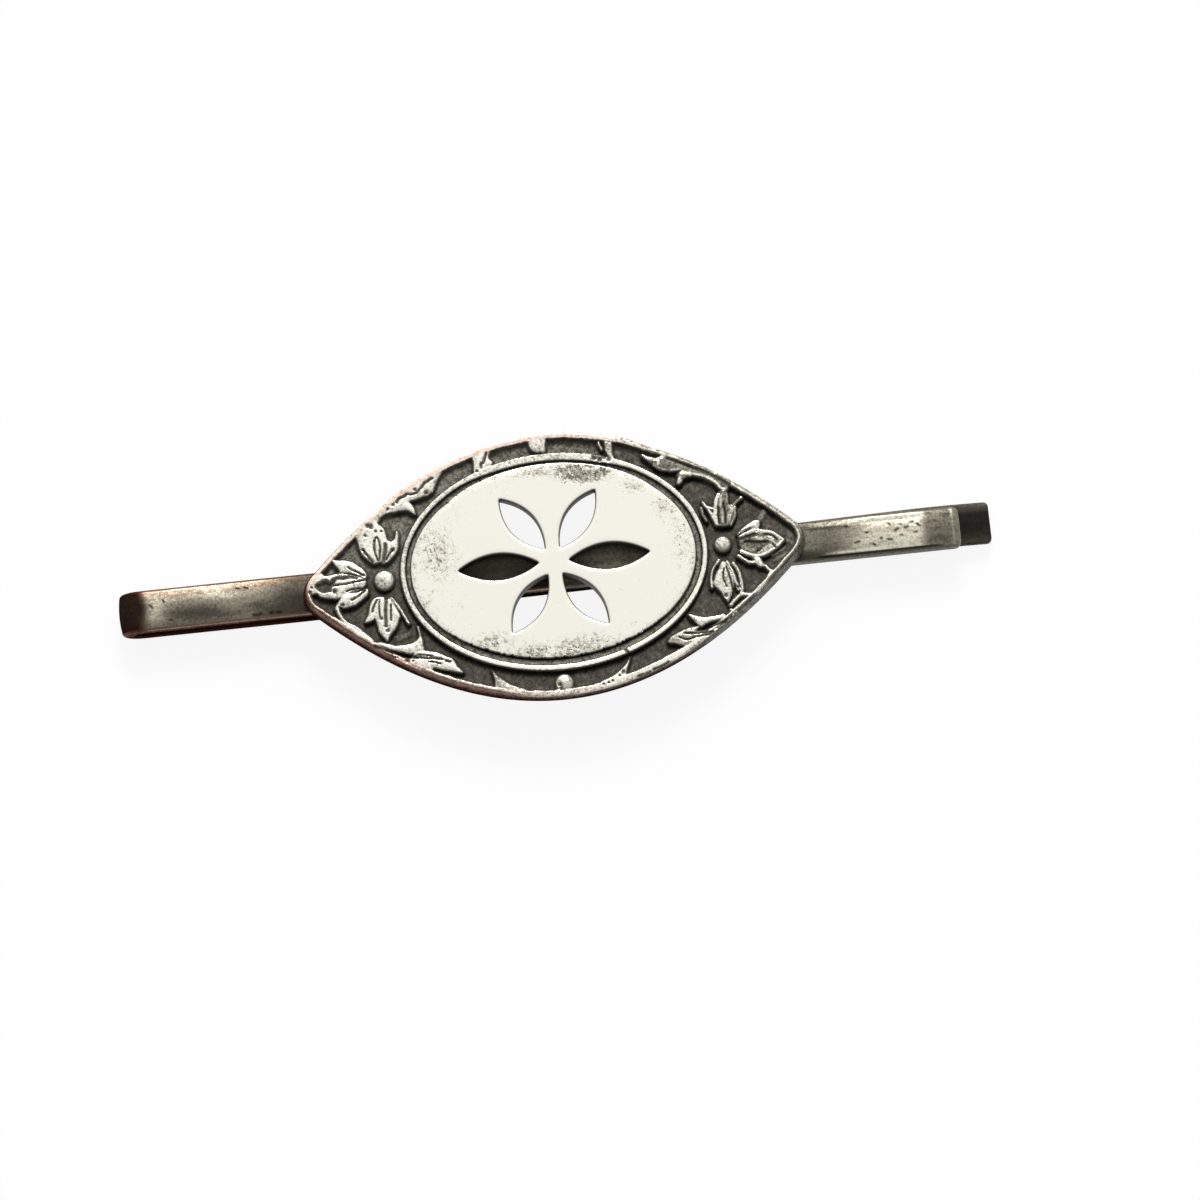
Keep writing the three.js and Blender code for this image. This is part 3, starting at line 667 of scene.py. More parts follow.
    def painted_shadow(self):
        """Share of each point that lies close below a raised edge, in the painted shadow that the edge casts
        from light above.
        """
        spot = ((self.points - self.points.min(axis=0)) / self.SHADOW_CELL).astype(int) + 1
        highest = np.zeros(spot.max(axis=0) + self.SHADOW_STEPS + 3)
        np.maximum.at(highest, (spot[:, 0], spot[:, 1]), self.height)
        found = np.zeros(len(self.points))
        for step in range(1, self.SHADOW_STEPS + 1):
            above = highest[spot[:, 0] + (step > 3), spot[:, 1] + step]
            found = np.maximum(found, above - self.height - self.SHADOW_FALL * step)
        return np.clip(found / self.SHADOW_FULL, 0, 1)

    def build(self):
        """Raises all the forms, then wears and cuts them, and lays the ground between them."""
        for wear, outline in FORMS:
            self.form(wear, outline)
        for wear, half, line in RIDGES:
            self.ridge(wear, half, line)
        for wear, half, line in FAINT:
            self.ridge(wear, half, line, self.FAINT_LEVEL)
        for x, y, radius, wear in BEADS:
            self.bead(x, y, radius, wear)
        self.rim()
        self.ring()
        for outline in HOLES:
            self.hole(outline)
        for half, line in CUTS:
            self.cut(half, line)
        for x, y, radius in PITS:
            self.pit(x, y, radius)
        self.tone = np.maximum(self.tone, self.ground())
        return self


# Meshes

def triangulate(loops, loose=np.zeros((0, 2))):
    """Triangles inside the first loop and outside the other, convex ones, as numbers of points."""
    points = np.vstack([*loops, loose])
    edges = []
    owner = np.full(len(points), -1)
    start = 0
    for number, loop in enumerate(loops):
        edges += [(start + i, start + (i + 1) % len(loop)) for i in range(len(loop))]
        owner[start:start + len(loop)] = number
        start += len(loop)
    result = delaunay_2d_cdt([Vector(p) for p in points], edges, [], 1, 1e-7)
    first = [group[0] for group in result[3]]
    faces = np.array([[first[i] for i in face] for face in result[2]])
    a, b, c = (points[faces[:, k]] for k in range(3))
    turn = (b[:, 0] - a[:, 0]) * (c[:, 1] - a[:, 1]) - (b[:, 1] - a[:, 1]) * (c[:, 0] - a[:, 0])
    faces[turn < 0] = faces[turn < 0][:, ::-1]
    owners = owner[faces]
    in_hole = (owners[:, 0] > 0) & (owners == owners[:, :1]).all(axis=1)
    return faces[~in_hole]


def linked(name, data):
    obj = bpy.data.objects.new(name, data)
    bpy.context.scene.collection.objects.link(obj)
    return obj


class Builder:
    """Collects points with a tone and a second value each, and faces, and makes one mesh of them."""

    def __init__(self, second="red_reflection"):
        self.second = second
        self.points = []
        self.tones = []
        self.seconds = []
        self.faces = []
        self.count = 0

    def add(self, points, tone, second=0.0):
        points = np.asarray(points, float)
        self.points.append(points)
        self.tones.append(np.broadcast_to(np.asarray(tone, float), len(points)))
        self.seconds.append(np.broadcast_to(np.asarray(second, float), len(points)))
        self.count += len(points)
        return np.arange(self.count - len(points), self.count)

    def level(self, flat, z, tone, second=0.0):
        """Adds points of the sheet at one height, or at a height each."""
        flat = np.asarray(flat) + np.array([SHEET_X, SHEET_Y])
        return self.add(np.column_stack([flat, np.broadcast_to(z, len(flat))]), tone, second)

    def bridge(self, first, second):
        a, b = np.roll(first, -1), np.roll(second, -1)
        self.faces += np.stack([first, a, b, second], axis=1).tolist()

    def chain(self, loops, flip=False):
        """Bands of faces from each loop to the next. Returns the last loop."""
        for first, second in zip(loops, loops[1:]):
            if flip:
                first, second = second, first
            self.bridge(first, second)
        return loops[-1]

    def tube(self, loops):
        self.faces.append(loops[0][::-1].tolist())
        self.chain(loops)
        self.faces.append(loops[-1].tolist())

    def fill(self, indices, triangles, flip=False):
        found = np.asarray(indices)[triangles]
        self.faces += (found[:, ::-1] if flip else found).tolist()

    def make(self, name, sharp):
        """Makes the object, smooth but for edges over the sharp angle in degrees."""
        mesh = bpy.data.meshes.new(name)
        points = np.vstack(self.points) * MM
        mesh.from_pydata(points.tolist(), [], self.faces)
        for key, values in (("tone", self.tones), (self.second, self.seconds)):
            data = mesh.attributes.new(key, "FLOAT", "POINT").data
            data.foreach_set("value", np.concatenate(values).astype(np.float32))
        mesh.polygons.foreach_set("use_smooth", np.ones(len(mesh.polygons), bool))
        mesh.set_sharp_from_angle(angle=math.radians(sharp))
        mesh.validate()
        return linked(name, mesh)


def scatter(step, low, high):
    """Points of an even triangular grid."""
    rows = np.arange(low[1], high[1], step * math.sqrt(3) / 2)
    columns = np.arange(low[0], high[0], step)
    x, y = np.meshgrid(columns, rows)
    x = x + (np.arange(len(rows)) % 2)[:, None] * step / 2
    return np.stack([x.ravel(), y.ravel()], axis=1)


def ring_oval(inset):
    """Oval at an inset from the ring's outer line, further in where the ring is broader."""
    angle = np.linspace(0, 2 * math.pi, RING_COUNT, endpoint=False)
    extra = ring_land(np.sin(angle)) - RING_LAND
    size = inset + extra * np.clip((SEAT - inset) / (SEAT - RING_LAND), 0, 1)
    return np.stack([(RING_A - size) * np.cos(angle), (RING_B - size) * np.sin(angle)], axis=1)


def struck_points():
    """Loose points of the plaque's top, between its edge and the inner edge of the ring."""
    loose = scatter(RELIEF_STEP, TOP_EDGE.min(axis=0), TOP_EDGE.max(axis=0))
    land = ring_land(ring_rise(loose))
    share = np.hypot(loose[:, 0] / (RING_A - land), loose[:, 1] / (RING_B - land))
    loose = loose[share > 1 + RING_GAP / RING_B]
    loose = loose[inside(loose, TOP_EDGE)]
    return loose[distance(loose, TOP_EDGE[::3], True) > EDGE_GAP]


def struck_face(build):
    """Top of the plaque with its relief. Returns its outer loop and its inner loop."""
    hole = ring_oval(RING_LAND)
    loose = struck_points()
    sheet = np.vstack([TOP_EDGE, hole, loose])
    relief = Relief(sheet).build()
    z = TOP_Z - RELIEF_DEPTH * (1 - relief.height)
    top = build.level(sheet, z, relief.tone, relief.red_reflection)
    build.fill(top, triangulate([TOP_EDGE, hole], loose))
    return top[:len(TOP_EDGE)], top[len(TOP_EDGE):len(TOP_EDGE) + RING_COUNT]


def groove(build, start):
    """Groove between ring and panel, the panel's seat, and the opening to the back. Returns the last loop."""
    floor_z = TOP_Z - GROOVE_DEPTH
    # inset from the ring's outer line, height, tone
    steps = [
        (0.33, floor_z + 0.2, 0.45),
        (0.34, floor_z + 0.05, 0.22),
        (0.38, floor_z, 0.26),
        (0.44, floor_z, 0.46),
        (0.52, floor_z, 0.54),
        (0.62, floor_z, 0.52),
        (0.7, floor_z, 0.4),
        (SEAT, floor_z, 0.24),
        (SEAT, LEDGE_Z, 0.1),
        (OPENING, LEDGE_Z, 0.1),
        (OPENING, BACK_Z, 0.15),
    ]
    ends = ease(np.abs(ring_oval(RING_LAND)[:, 1]) / RING_B, 0.5, 0.9)
    loops = [build.level(ring_oval(inset), z, tone + 0.08 * ends) for inset, z, tone in steps]
    return build.chain([start, *loops])


def flank(build, start):
    """Flared side of the plaque, down to the back, darkened outward on the left and at the bottom with a
    painted dark reflection. Returns the last loop and its outline.
    """
    base = OUTLINE + PLAQUE_FLARE * outward(OUTLINE)
    back = OUTLINE + (PLAQUE_FLARE - PLAQUE_BACK_BEVEL) * outward(OUTLINE)
    right = ease(OUTLINE[:, 0], -5, 3)
    bottom = worn_low(OUTLINE)
    # share of the way out, drop, tone on the left, tone at the bottom, red tint; the tones hold a painted
    # dark reflection and the red tint a painted red reflection
    steps = [
        (0.08, 0.3, 0.54, 0.44, 0.65),
        (0.3, 0.5, 0.5, 0.36, 0.85),
        (0.6, 0.8, 0.3, 0.26, 1.0),
        (0.9, 1.15, 0.18, 0.18, 1.0),
        (1.0, 1.3, 0.24, 0.18, 1.0),
    ]
    loops = [start]
    for share, drop, tone, low_tone, red_reflection in steps:
        tones = tone + (0.5 - tone) * right
        tones += (low_tone - tones) * bottom
        red_reflections = red_reflection * (1 - right * (1 - 0.6 * bottom))
        loops.append(build.level(TOP_EDGE + share * (base - TOP_EDGE), TOP_Z - drop, tones, red_reflections))
    loops.append(build.level(back, BACK_Z, 0.2, 0.8 * (1 - right)))
    return build.chain(loops, flip=True), back


def plaque_frame():
    build = Builder()
    edge, hole = struck_face(build)
    opening = groove(build, hole)
    back, outline = flank(build, edge)
    underside = triangulate([outline, ring_oval(OPENING)])
    build.fill(np.concatenate([back, opening]), underside, flip=True)
    return build.make("plaque_frame_visual", 50)


def bow(start, end, bulge):
    """Curve from start to end, drawn out by the bulge."""
    t = np.linspace(0, 1, 40, endpoint=False)[:, None]
    middle = (start + end) / 2 + 2 * bulge
    return (1 - t) ** 2 * start + 2 * t * (1 - t) * middle + t ** 2 * end


def petal(index):
    """Outline of one hole of the rosette, counter-clockwise."""
    angle = 2 * math.pi * index / PETAL_COUNT
    direction = np.array([math.cos(angle), math.sin(angle)])
    base = PETAL_START * direction
    tip = np.array([PETAL_REACH_X, PETAL_REACH_Y]) * direction
    along = (tip - base) / np.hypot(*(tip - base))
    bulge = PETAL_BULGE * np.array([-along[1], along[0]])
    return resample(np.vstack([bow(base, tip, -bulge), bow(tip, base, bulge)]), PETAL_STEP)


# Worn zones of the panel: middle, half lengths, strength.
WORN = [
    (-7.4, 1.2, 1.8, 2.7, 0.74), (-8.2, -1.5, 0.8, 2.0, 0.5), (2.7, 5.95, 2.6, 1.15, 1.4),
    (-0.5, 6.15, 2.7, 0.85, 0.85), (5.8, 4.5, 1.6, 0.9, 0.72), (7.5, 2.9, 1.1, 1.5, 0.72),
    (8.3, 0.6, 1.0, 3.2, 0.64), (1.2, -5.8, 3.9, 1.05, 0.82), (-4.5, -4.9, 2.3, 0.9, 0.78),
    (-2.0, -5.8, 2.2, 0.8, 0.86), (-3.6, 5.2, 2.0, 0.7, 0.45), (4.6, -4.6, 1.2, 0.7, 0.4),
    (-6.2, -2.6, 1.4, 1.3, 0.4), (7.0, -3.2, 1.2, 1.3, 0.35), (-6.2, 3.6, 1.4, 1.1, 0.45),
]


def worn(points):
    """Share of wear of the panel's top: in the zones and along its edge."""
    found = np.full(len(points), 0.12)
    for x, y, across, up, strength in WORN:
        away = ((points[:, 0] - x) / across) ** 2 + ((points[:, 1] - y) / up) ** 2
        found = np.maximum(found, strength * np.exp(-away ** 1.2))
    edge = np.maximum(-ellipse_depth(points, PANEL_A, PANEL_B), 0)
    return np.maximum(found, 0.7 * np.exp(-(edge / 0.3) ** 2))


# Rounding of the panel's edges: distance from the edge, drop, tone.
ROUNDING = [(0.16, 0, 1.0), (0.1, 0.008, 0.97), (0.05, 0.03, 0.86), (0.015, 0.07, 0.55), (0, 0.13, 0.3)]


def panel_edge():
    """How far the panel's edge lies inside its oval, and its lip over the groove, point by point round it."""
    angle = np.linspace(0, 2 * math.pi, PANEL_EDGE_COUNT, endpoint=False)
    rng = np.random.default_rng(5)
    amount = 0.2 + 0.8 * ease(np.sin(angle), -0.5, -0.9) + 0.7 * np.exp(-((angle - 2.2) / 0.25) ** 2)
    waves = 0.025 * np.sin(31 * angle + 1) * np.sin(7 * angle)
    bites = 0.12 * rng.random(PANEL_EDGE_COUNT) ** 4
    top, left, right = (ease(side, 0.5, 0.9) for side in (np.sin(angle), -np.cos(angle), np.cos(angle)))
    return 0.02 + amount * (waves + bites), PANEL_LIP * np.maximum(top, np.maximum(0.8 * left, 0.4 * right))


PANEL_RAGGED, PANEL_OVERHANG = panel_edge()


def panel_oval(inset, lip):
    """Outline of the panel at an inset from its edge, with its lip for 1 and without for 0."""
    shift = inset + PANEL_RAGGED - lip * PANEL_OVERHANG
    return ellipse(PANEL_A, PANEL_B, PANEL_EDGE_COUNT) * (1 - shift / PANEL_A)[:, None]


def panel_face(build, petals):
    """Polished top of the panel. Returns its outer loop and the loops of the holes."""
    inset = ROUNDING[0][0]
    loops = [panel_oval(inset, 1)] + [path + inset * outward(path) for path in petals]
    loose = scatter(PANEL_STEP, (-PANEL_A, -PANEL_B), (PANEL_A, PANEL_B))
    loose = loose[ellipse_depth(loose, PANEL_A, PANEL_B) < -PANEL_GAP]
    for loop in loops[1:]:
        loose = loose[depth_inside(loose, loop) < -PETAL_GAP]
    sheet = np.vstack([*loops, loose])
    face = build.level(sheet, TOP_Z, 1.0, worn(sheet))
    build.fill(face, triangulate(loops, loose))
    return np.split(face, np.cumsum([len(loop) for loop in loops]))[:-1]


def pierced_panel():
    build = Builder("wear")
    petals = [petal(i) for i in range(PETAL_COUNT)]
    edge, *holes = panel_face(build, petals)
    wall = [(inset, drop, tone, 1) for inset, drop, tone in ROUNDING[1:]]
    wall += [(0, 0.34, 0.15, 1), (0, 0.37, 0.1, 0), (0, PANEL_THICKNESS, 0.08, 0)]
    loops = [build.level(panel_oval(inset, lip), TOP_Z - drop, tone, 0.3) for inset, drop, tone, lip in wall]
    bottom = [build.chain([edge, *loops], flip=True)]
    wall = ROUNDING[1:] + [(0, 0.5, 0.12), (0, PANEL_THICKNESS, 0.06)]
    for path, hole in zip(petals, holes):
        normal = outward(path)
        loops = [build.level(path + offset * normal, TOP_Z - drop, tone) for offset, drop, tone in wall]
        bottom.append(build.chain([hole, *loops]))
    build.fill(np.concatenate(bottom), triangulate([panel_oval(0, 0), *petals]), flip=True)
    return build.make("pierced_panel_visual", 60)


def arc(y, z, radius, start, end, count):
    """Points of an arc in a section of the strip, with the angles in quarter turns."""
    angles = np.linspace(start * math.pi / 2, end * math.pi / 2, count)
    return [(y + radius * math.cos(angle), z + radius * math.sin(angle)) for angle in angles]


def strip_section(half, thick):
    """Closed section of the strip as pairs of place across and height above the inner face."""
    def crown(y):
        return thick - STRIP_CROWN * (y / half) ** 2

    edge = min(STRIP_EDGE, half)
    inner = STRIP_INNER_EDGE
    shoulder = crown(half - edge)
    points = [(y, 0.0) for y in np.linspace(inner - half, half - inner, 5)]
    points += arc(half - inner, inner, inner, -1, 0, 4)[1:]
    points += [(half, 0.5 * shoulder)]
    points += arc(half - edge, shoulder - edge, edge, 0, 1, 6)
    points += [(y, crown(y)) for y in np.linspace(half - edge, edge - half, 31)[1:-1]]
    points += arc(edge - half, shoulder - edge, edge, 1, 2, 6)
    points += [(-half, 0.5 * shoulder)]
    points += arc(inner - half, inner, inner, 2, 3, 4)[:-1]
    return np.array(points)


FULL_SECTION = strip_section(STRIP_HALF, STRIP_THICKNESS)


def sweep(name, stations, tone_of, red_reflection_of):
    """Strip through stations: each a place on the inner face, the outward direction in X and Z, a section."""
    build = Builder()
    loops = []
    for place, out, section in stations:
        x = place[0] + section[:, 1] * out[0]
        y = place[1] + section[:, 0]
        z = place[2] + section[:, 1] * out[1]
        points = np.stack([x, y, z], axis=1)
        loops.append(build.add(points, tone_of(points, section), red_reflection_of(points, section)))
    build.tube(loops)
    return build.make(name, 60)


def tip_stations(corner):
    """Distances back from a rounded tip, with the half width and the thickness there."""
    found = []
    for share in (0.0, 0.04, 0.1, 0.2, 0.32, 0.46, 0.62, 0.8, 1.0):
        round_off = 1 - math.sqrt(max(0, 1 - (1 - share) ** 2))
        thick = STRIP_THICKNESS * (1 - TIP_THINNING * round_off)
        found.append((share * corner, STRIP_HALF - corner * round_off, thick))
    return found


# Wear of the bar's face. Soft patches: place along and across, half length, half width, change of tone.
SMUDGES = [
    # left of the plaque
    (-26.0, -0.35, 0.7, 0.75, 0.25), (-23.2, -0.55, 2.3, 0.5, -0.2), (-24.5, 0.75, 0.7, 0.1, -0.1),
    (-23.15, 0.76, 0.2, 0.1, -0.14), (-21.4, -0.35, 0.8, 0.3, 0.1), (-21.8, 0.35, 1.6, 0.4, 0.05),
    (-19.4, -0.42, 0.5, 0.25, -0.14), (-20.4, 0.72, 0.6, 0.14, -0.12), (-18.6, -0.8, 0.7, 0.3, -0.08),
    # right of the plaque
    (17.6, 0.78, 1.4, 0.12, -0.14), (16.4, -1.0, 1.4, 0.3, -0.2), (25.1, -0.65, 0.9, 0.35, -0.1),
    (25.6, 0.85, 0.5, 0.12, -0.12), (19.6, 0.35, 0.9, 0.4, -0.06), (22.6, -0.35, 1.2, 0.5, 0.1),
    (20.1, 0.66, 1.3, 0.2, -0.14),
]

# Dark pits and scratches of the bar's face: half width, one end, other end.
MARKS = [
    (0.1, -19.7, -1.03, -19.4, -1.06), (0.1, -19.4, -1.06, -19.25, -1.0),
    (0.1, -18.65, -1.02, -18.5, -1.02), (0.08, -18.2, -1.03, -17.95, -1.0),
    (0.05, -20.72, 0.84, -20.5, 0.8), (0.05, -20.2, 0.86, -19.95, 0.76), (0.06, -26.35, 0.3, -26.2, 0.12),
    (0.05, -25.5, 0.55, -25.42, 0.42), (0.05, -25.2, -0.78, -25.0, -0.8), (0.05, 18.9, 0.72, 19.06, 0.76),
    (0.06, 20.22, 0.16, 20.32, 0.19), (0.05, 19.45, -0.42, 19.75, -0.34), (0.07, 20.62, -0.6, 20.74, -0.68),
    (0.06, 21.12, -0.3, 21.24, -0.27), (0.07, 21.6, -0.4, 21.85, -0.44), (0.05, 21.72, 0.66, 21.84, 0.58),
    (0.06, 22.1, 0.1, 22.34, 0.26), (0.05, 22.5, 0.5, 22.58, 0.52), (0.06, 22.75, 0.24, 22.98, 0.3),
    (0.06, 23.4, -0.12, 23.52, -0.09), (0.06, 23.6, 0.42, 23.74, 0.28), (0.05, 22.48, -0.24, 22.56, -0.22),
    (0.05, 23.2, 0.56, 23.36, 0.6),
]


def smudge(x, y):
    found = np.zeros(len(x))
    for along, across, length, width, change in SMUDGES:
        found += change * np.exp(-((x - along) / length) ** 2 - ((y - across) / width) ** 2)
    return found


def marked(x, y):
    """Share of dark mark, from 0 to 1."""
    found = np.zeros(len(x))
    points = np.stack([x, y], axis=1)
    for half, *ends in MARKS:
        line = np.reshape(ends, (2, 2))
        if abs(x[0] - line[0, 0]) < 1:
            found = np.maximum(found, np.exp(-(distance(points, line, False) / half) ** 2))
    return found


def left_face(x, y):
    """Left of the plaque: a painted highlight along the upper edge, dark at the bend with tarnish and a
    painted dark reflection, and dark by the plaque.
    """
    # Painted highlight: lighter towards the upper edge, as if lit from above.
    tone = 0.5 + 0.17 * ease(y, -0.4, 0.8)
    tone -= 0.24 * ease(x, -20, -16.6)
    tone += 0.06 * ease(y, 0.84, 1.0) * ease(x, -16.4, -18.5)
    tone -= 0.08 * ease(x, -24.2, -26.4) * ease(y, 0.2, 0.8)
    # Tarnish and a painted dark reflection over the bend.
    bent = ease(-x - 0.3 * np.abs(y - 0.1), 26.2, 27.0)
    return tone + (0.13 - tone) * bent


def right_face(x, y):
    """Right of the plaque: dull at both ends, a bright middle patch, a painted highlight band above and a
    painted highlight line below over a band of painted shade.
    """
    tone = 0.45 + 0.01 * ease(x, 24, 25)
    tone += 0.33 * ease(x, 17.6, 20.5) * ease(x, 24.4, 23.5)
    # Painted highlight band along the top of the face.
    band = ease(y, 0.8, 0.88) * ease(y, 1.18, 1.12)
    tone += (0.61 - tone) * band * ease(x, 16.1, 17.6) * ease(x, 24.4, 23.6)
    # Painted highlight line low on the face.
    line = np.exp(-((y + 0.94) / 0.1) ** 2) * ease(x, 16.9, 18.6) * ease(x, 22.5, 21)
    tone += (0.94 - tone) * line
    # Painted shade in a band under that line.
    under = ease(y, -1.02, -1.07) * ease(y, -1.26, -1.18) * ease(x, 16.6, 17.6) * ease(x, 25.6, 24.2)
    return tone + (0.14 - tone) * under


def on_face(section):
    """Share of the strip's outer face, against its sides and its inner face."""
    return ease(section[:, 1], 0.5, 0.66)


def upper_edge(y):
    return ease(y, STRIP_HALF - 0.14, STRIP_HALF - 0.06)


def lower_edge(y):
    return ease(-y, STRIP_HALF - 0.19, STRIP_HALF - 0.11)


def front_tone(points, section):
    """Tone of the bar and the bend: the worn face, its edges with a painted highlight on the lower one, sides
    darkened with tarnish and a painted dark reflection, and two painted highlights at the tip.
    """
    x = points[:, 0]
    y = points[:, 1] - STRIP_MIDDLE_Y
    left = x < 0
    patches = smudge(x, y) * ease(x, 26, 25.6) * ease(x, -27, -26.6)
    face = np.where(left, left_face(x, y), right_face(x, y)) + patches
    face *= 1 - 0.75 * marked(x, y)
    upper = np.where(left, 0.32, 0.4)
    # The pale lower edge is a painted highlight.
    lower = np.where(left, 0.64 - 0.24 * ease(x, -26.4, -27.2), 0.52)
    face += (upper - face) * upper_edge(y)
    face += (lower - face) * lower_edge(y)
    # Two pale lines at the tip are painted highlights on its rounding.
    end = BAR_HIGH[0] - x
    face += 0.14 * (np.exp(-((end - 0.46) / 0.07) ** 2) + np.exp(-((end - 0.12) / 0.12) ** 2))
    # Sides darkened with tarnish and a painted dark reflection.
    side = 0.27 + 0.16 * ease(x, 0, 5)
    return np.clip(side + (face - side) * on_face(section), 0.05, 1)


def front_red_reflection(points, section):
    """Painted red reflection of a reddish surround on the edges and sides of the left end."""
    x = points[:, 0]
    y = points[:, 1] - STRIP_MIDDLE_Y
    face = 0.06 + 0.3 * ease(y, 0.5, 1.0) + 0.45 * upper_edge(y)
    face += 0.36 * lower_edge(y)
    face += (0.6 + 0.3 * ease(np.abs(y), 0.8, 1.2) - face) * ease(x, -26.4, -27.2)
    return (1.0 + (face - 1.0) * on_face(section)) * ease(x, 3, -3)


def tongue_drift(x):
    return TONGUE_DRIFT * ((x - BEND_X) / (TONGUE_HIGH[0] - BEND_X)) ** 3


def tongue_tone(points, section):
    """Tongue darkened with painted shade of the bar above it, paler by the bend, with lit edges where it
    shows at the right end.
    """
    x = points[:, 0]
    y = points[:, 1] - STRIP_MIDDLE_Y - tongue_drift(x)
    under = 0.19 * ease(x, -10, -20)
    edges = 0.28 * ease(y, STRIP_HALF - 0.3, STRIP_HALF - 0.12)
    edges += 0.16 * ease(-y, STRIP_HALF - 0.35, STRIP_HALF) * ease(x, 24, 26)
    # The dark base tone is painted shade under the bar.
    return 0.05 + under + ease(x, 12, 16) * (0.08 + edges)


def tongue_red_reflection(points, section):
    # Painted red reflection of a reddish surround on the tongue's left part.
    return ease(points[:, 0], 4, -8)


def front_bar():
    places = []
    for x in np.arange(BEND_X, BAR_HIGH[0] - BAR_CORNER - 0.03, BAR_STEP):
        places.append(((x, STRIP_MIDDLE_Y, BAR_LOW[2]), (0, 1), FULL_SECTION))
    for back, half, thick in reversed(tip_stations(BAR_CORNER)):
        place = (BAR_HIGH[0] - back, STRIP_MIDDLE_Y, BAR_LOW[2])
        places.append((place, (0, 1), strip_section(half, thick)))
    return sweep("front_bar_visual", places, front_tone, front_red_reflection)


def spring_bend():
    inner = BEND_RADIUS - STRIP_THICKNESS
    places = []
    for angle in np.linspace(1.5 * math.pi, math.pi / 2, 40):
        out = (math.cos(angle), math.sin(angle))
        place = (BEND_X + inner * out[0], STRIP_MIDDLE_Y, BEND_RADIUS + inner * out[1])
        places.append((place, out, FULL_SECTION))
    return sweep("spring_bend_visual", places, front_tone, front_red_reflection)


def tongue_place(x):
    """Place on the tongue's inner face: flat by the bend, up to the grip, then flared away from the bar."""
    grip = TONGUE_HIGH[0] - TONGUE_FLARE
    flare = max(0.0, (x - grip) / TONGUE_FLARE)
    rise = TONGUE_RISE * (float(ease(x, BEND_X + TONGUE_FLAT, grip)) - flare ** 2)
    return (x, STRIP_MIDDLE_Y + tongue_drift(x), STRIP_THICKNESS + rise)


def spring_tongue():
    places = []
    for back, half, thick in tip_stations(TONGUE_CORNER):
        places.append((tongue_place(TONGUE_HIGH[0] - back), (0, -1), strip_section(half, thick)))
    for x in np.arange(TONGUE_HIGH[0] - TONGUE_CORNER - 0.2, BEND_X, -TONGUE_STEP):
        places.append((tongue_place(x), (0, -1), FULL_SECTION))
    places.append((tongue_place(BEND_X), (0, -1), FULL_SECTION))
    return sweep("spring_tongue_visual", places, tongue_tone, tongue_red_reflection)


def solder_seam(node):
    """Hollow fillet of solder between a side of the bar and the back of the plaque, run out at both ends."""
    low, high = box_mm(node)
    side = 1 if low[1] > STRIP_MIDDLE_Y else -1
    wall = low[1] if side > 0 else high[1]
    build = Builder()
    loops = []
    for share in np.linspace(0, 1, 25):
        run_out = math.sin(math.pi * min(share, 1 - share, 0.16) / 0.32)
        leg = (high[1] - low[1]) * (0.35 + 0.65 * run_out)
        leg *= 1 - 0.08 * math.sin(19 * share)
        x = low[0] + share * (high[0] - low[0])
        ring = [(x, wall, high[2])]
        for angle in np.linspace(0, math.pi / 2, 8):
            ring.append((x, wall + side * leg * (1 - math.cos(angle)), high[2] - leg * (1 - math.sin(angle))))
        loops.append(build.add(ring if side > 0 else ring[::-1], 0.22))
    build.tube(loops)
    return build.make(node + "_visual", 40)


# Materials

class Nodes:
    """Short hand for the nodes of one material or world."""

    def __init__(self, owner):
        owner.use_nodes = True
        self.tree = owner.node_tree
        self.tree.nodes.clear()

    def add(self, kind, inputs=None, **settings):
        node = self.tree.nodes.new(kind)
        for key, value in settings.items():
            setattr(node, key, value)
        for key, value in (inputs or {}).items():
            if isinstance(value, bpy.types.NodeSocket):
                self.tree.links.new(value, node.inputs[key])
            else:
                node.inputs[key].default_value = value
        return node

    def math(self, operation, a, b, clamp=False):
        return self.add("ShaderNodeMath", {0: a, 1: b}, operation=operation, use_clamp=clamp).outputs[0]

    def ramp(self, value, stops):
        node = self.add("ShaderNodeValToRGB", {"Fac": value})
        elements = node.color_ramp.elements
        while len(elements) < len(stops):
            elements.new(0.5)
        for element, (place, color) in zip(elements, stops):
            element.position = place
            element.color = (*color, 1)
        return node.outputs["Color"]

    def tint(self, color, by, share, blend):
        node = self.add("ShaderNodeMix", {0: share, 6: color, 7: by}, data_type="RGBA", blend_type=blend)
        return node.outputs[2]

    def span(self, value, low, high, to_low, to_high):
        """The value with one range laid onto another, and held there."""
        ends = {"From Min": low, "From Max": high, "To Min": to_low, "To Max": to_high}
        return self.add("ShaderNodeMapRange", {"Value": value, **ends}).outputs["Result"]

    def attribute(self, name):
        return self.add("ShaderNodeAttribute", attribute_name=name).outputs["Fac"]

    def in_mm(self, place, stretch=1.0):
        """The place in millimetres, drawn out along X."""
        scale = (1000 / stretch, 1000, 1000)
        return self.add("ShaderNodeMapping", {"Vector": place, "Scale": scale}).outputs["Vector"]

    def noise(self, place, scale, detail, roughness):
        inputs = {"Vector": place, "Scale": scale, "Detail": detail, "Roughness": roughness}
        return self.add("ShaderNodeTexNoise", inputs).outputs["Fac"]

    def metal(self, inputs, height, depth):
        """A metal surface with a fine bump, as the material's output."""
        bump = self.add("ShaderNodeBump", {"Strength": 0.3, "Distance": depth, "Height": height})
        shader = self.add("ShaderNodeBsdfPrincipled", {**inputs, "Normal": bump.outputs["Normal"]})
        self.add("ShaderNodeOutputMaterial", {"Surface": shader.outputs["BSDF"]})


# Colours of silver from black sulphide to bright metal, and the red cast of a painted reflection of a reddish
# surround.
SILVER = [
    (0.0, (0.010, 0.009, 0.008)),
    (0.12, (0.022, 0.02, 0.0175)),
    (0.36, (0.085, 0.077, 0.063)),
    (0.6, (0.29, 0.27, 0.22)),
    (0.85, (0.74, 0.715, 0.63)),
    (1.0, (0.88, 0.86, 0.77)),
]
REFLECTED_RED = (1.0, 0.42, 0.3, 1)


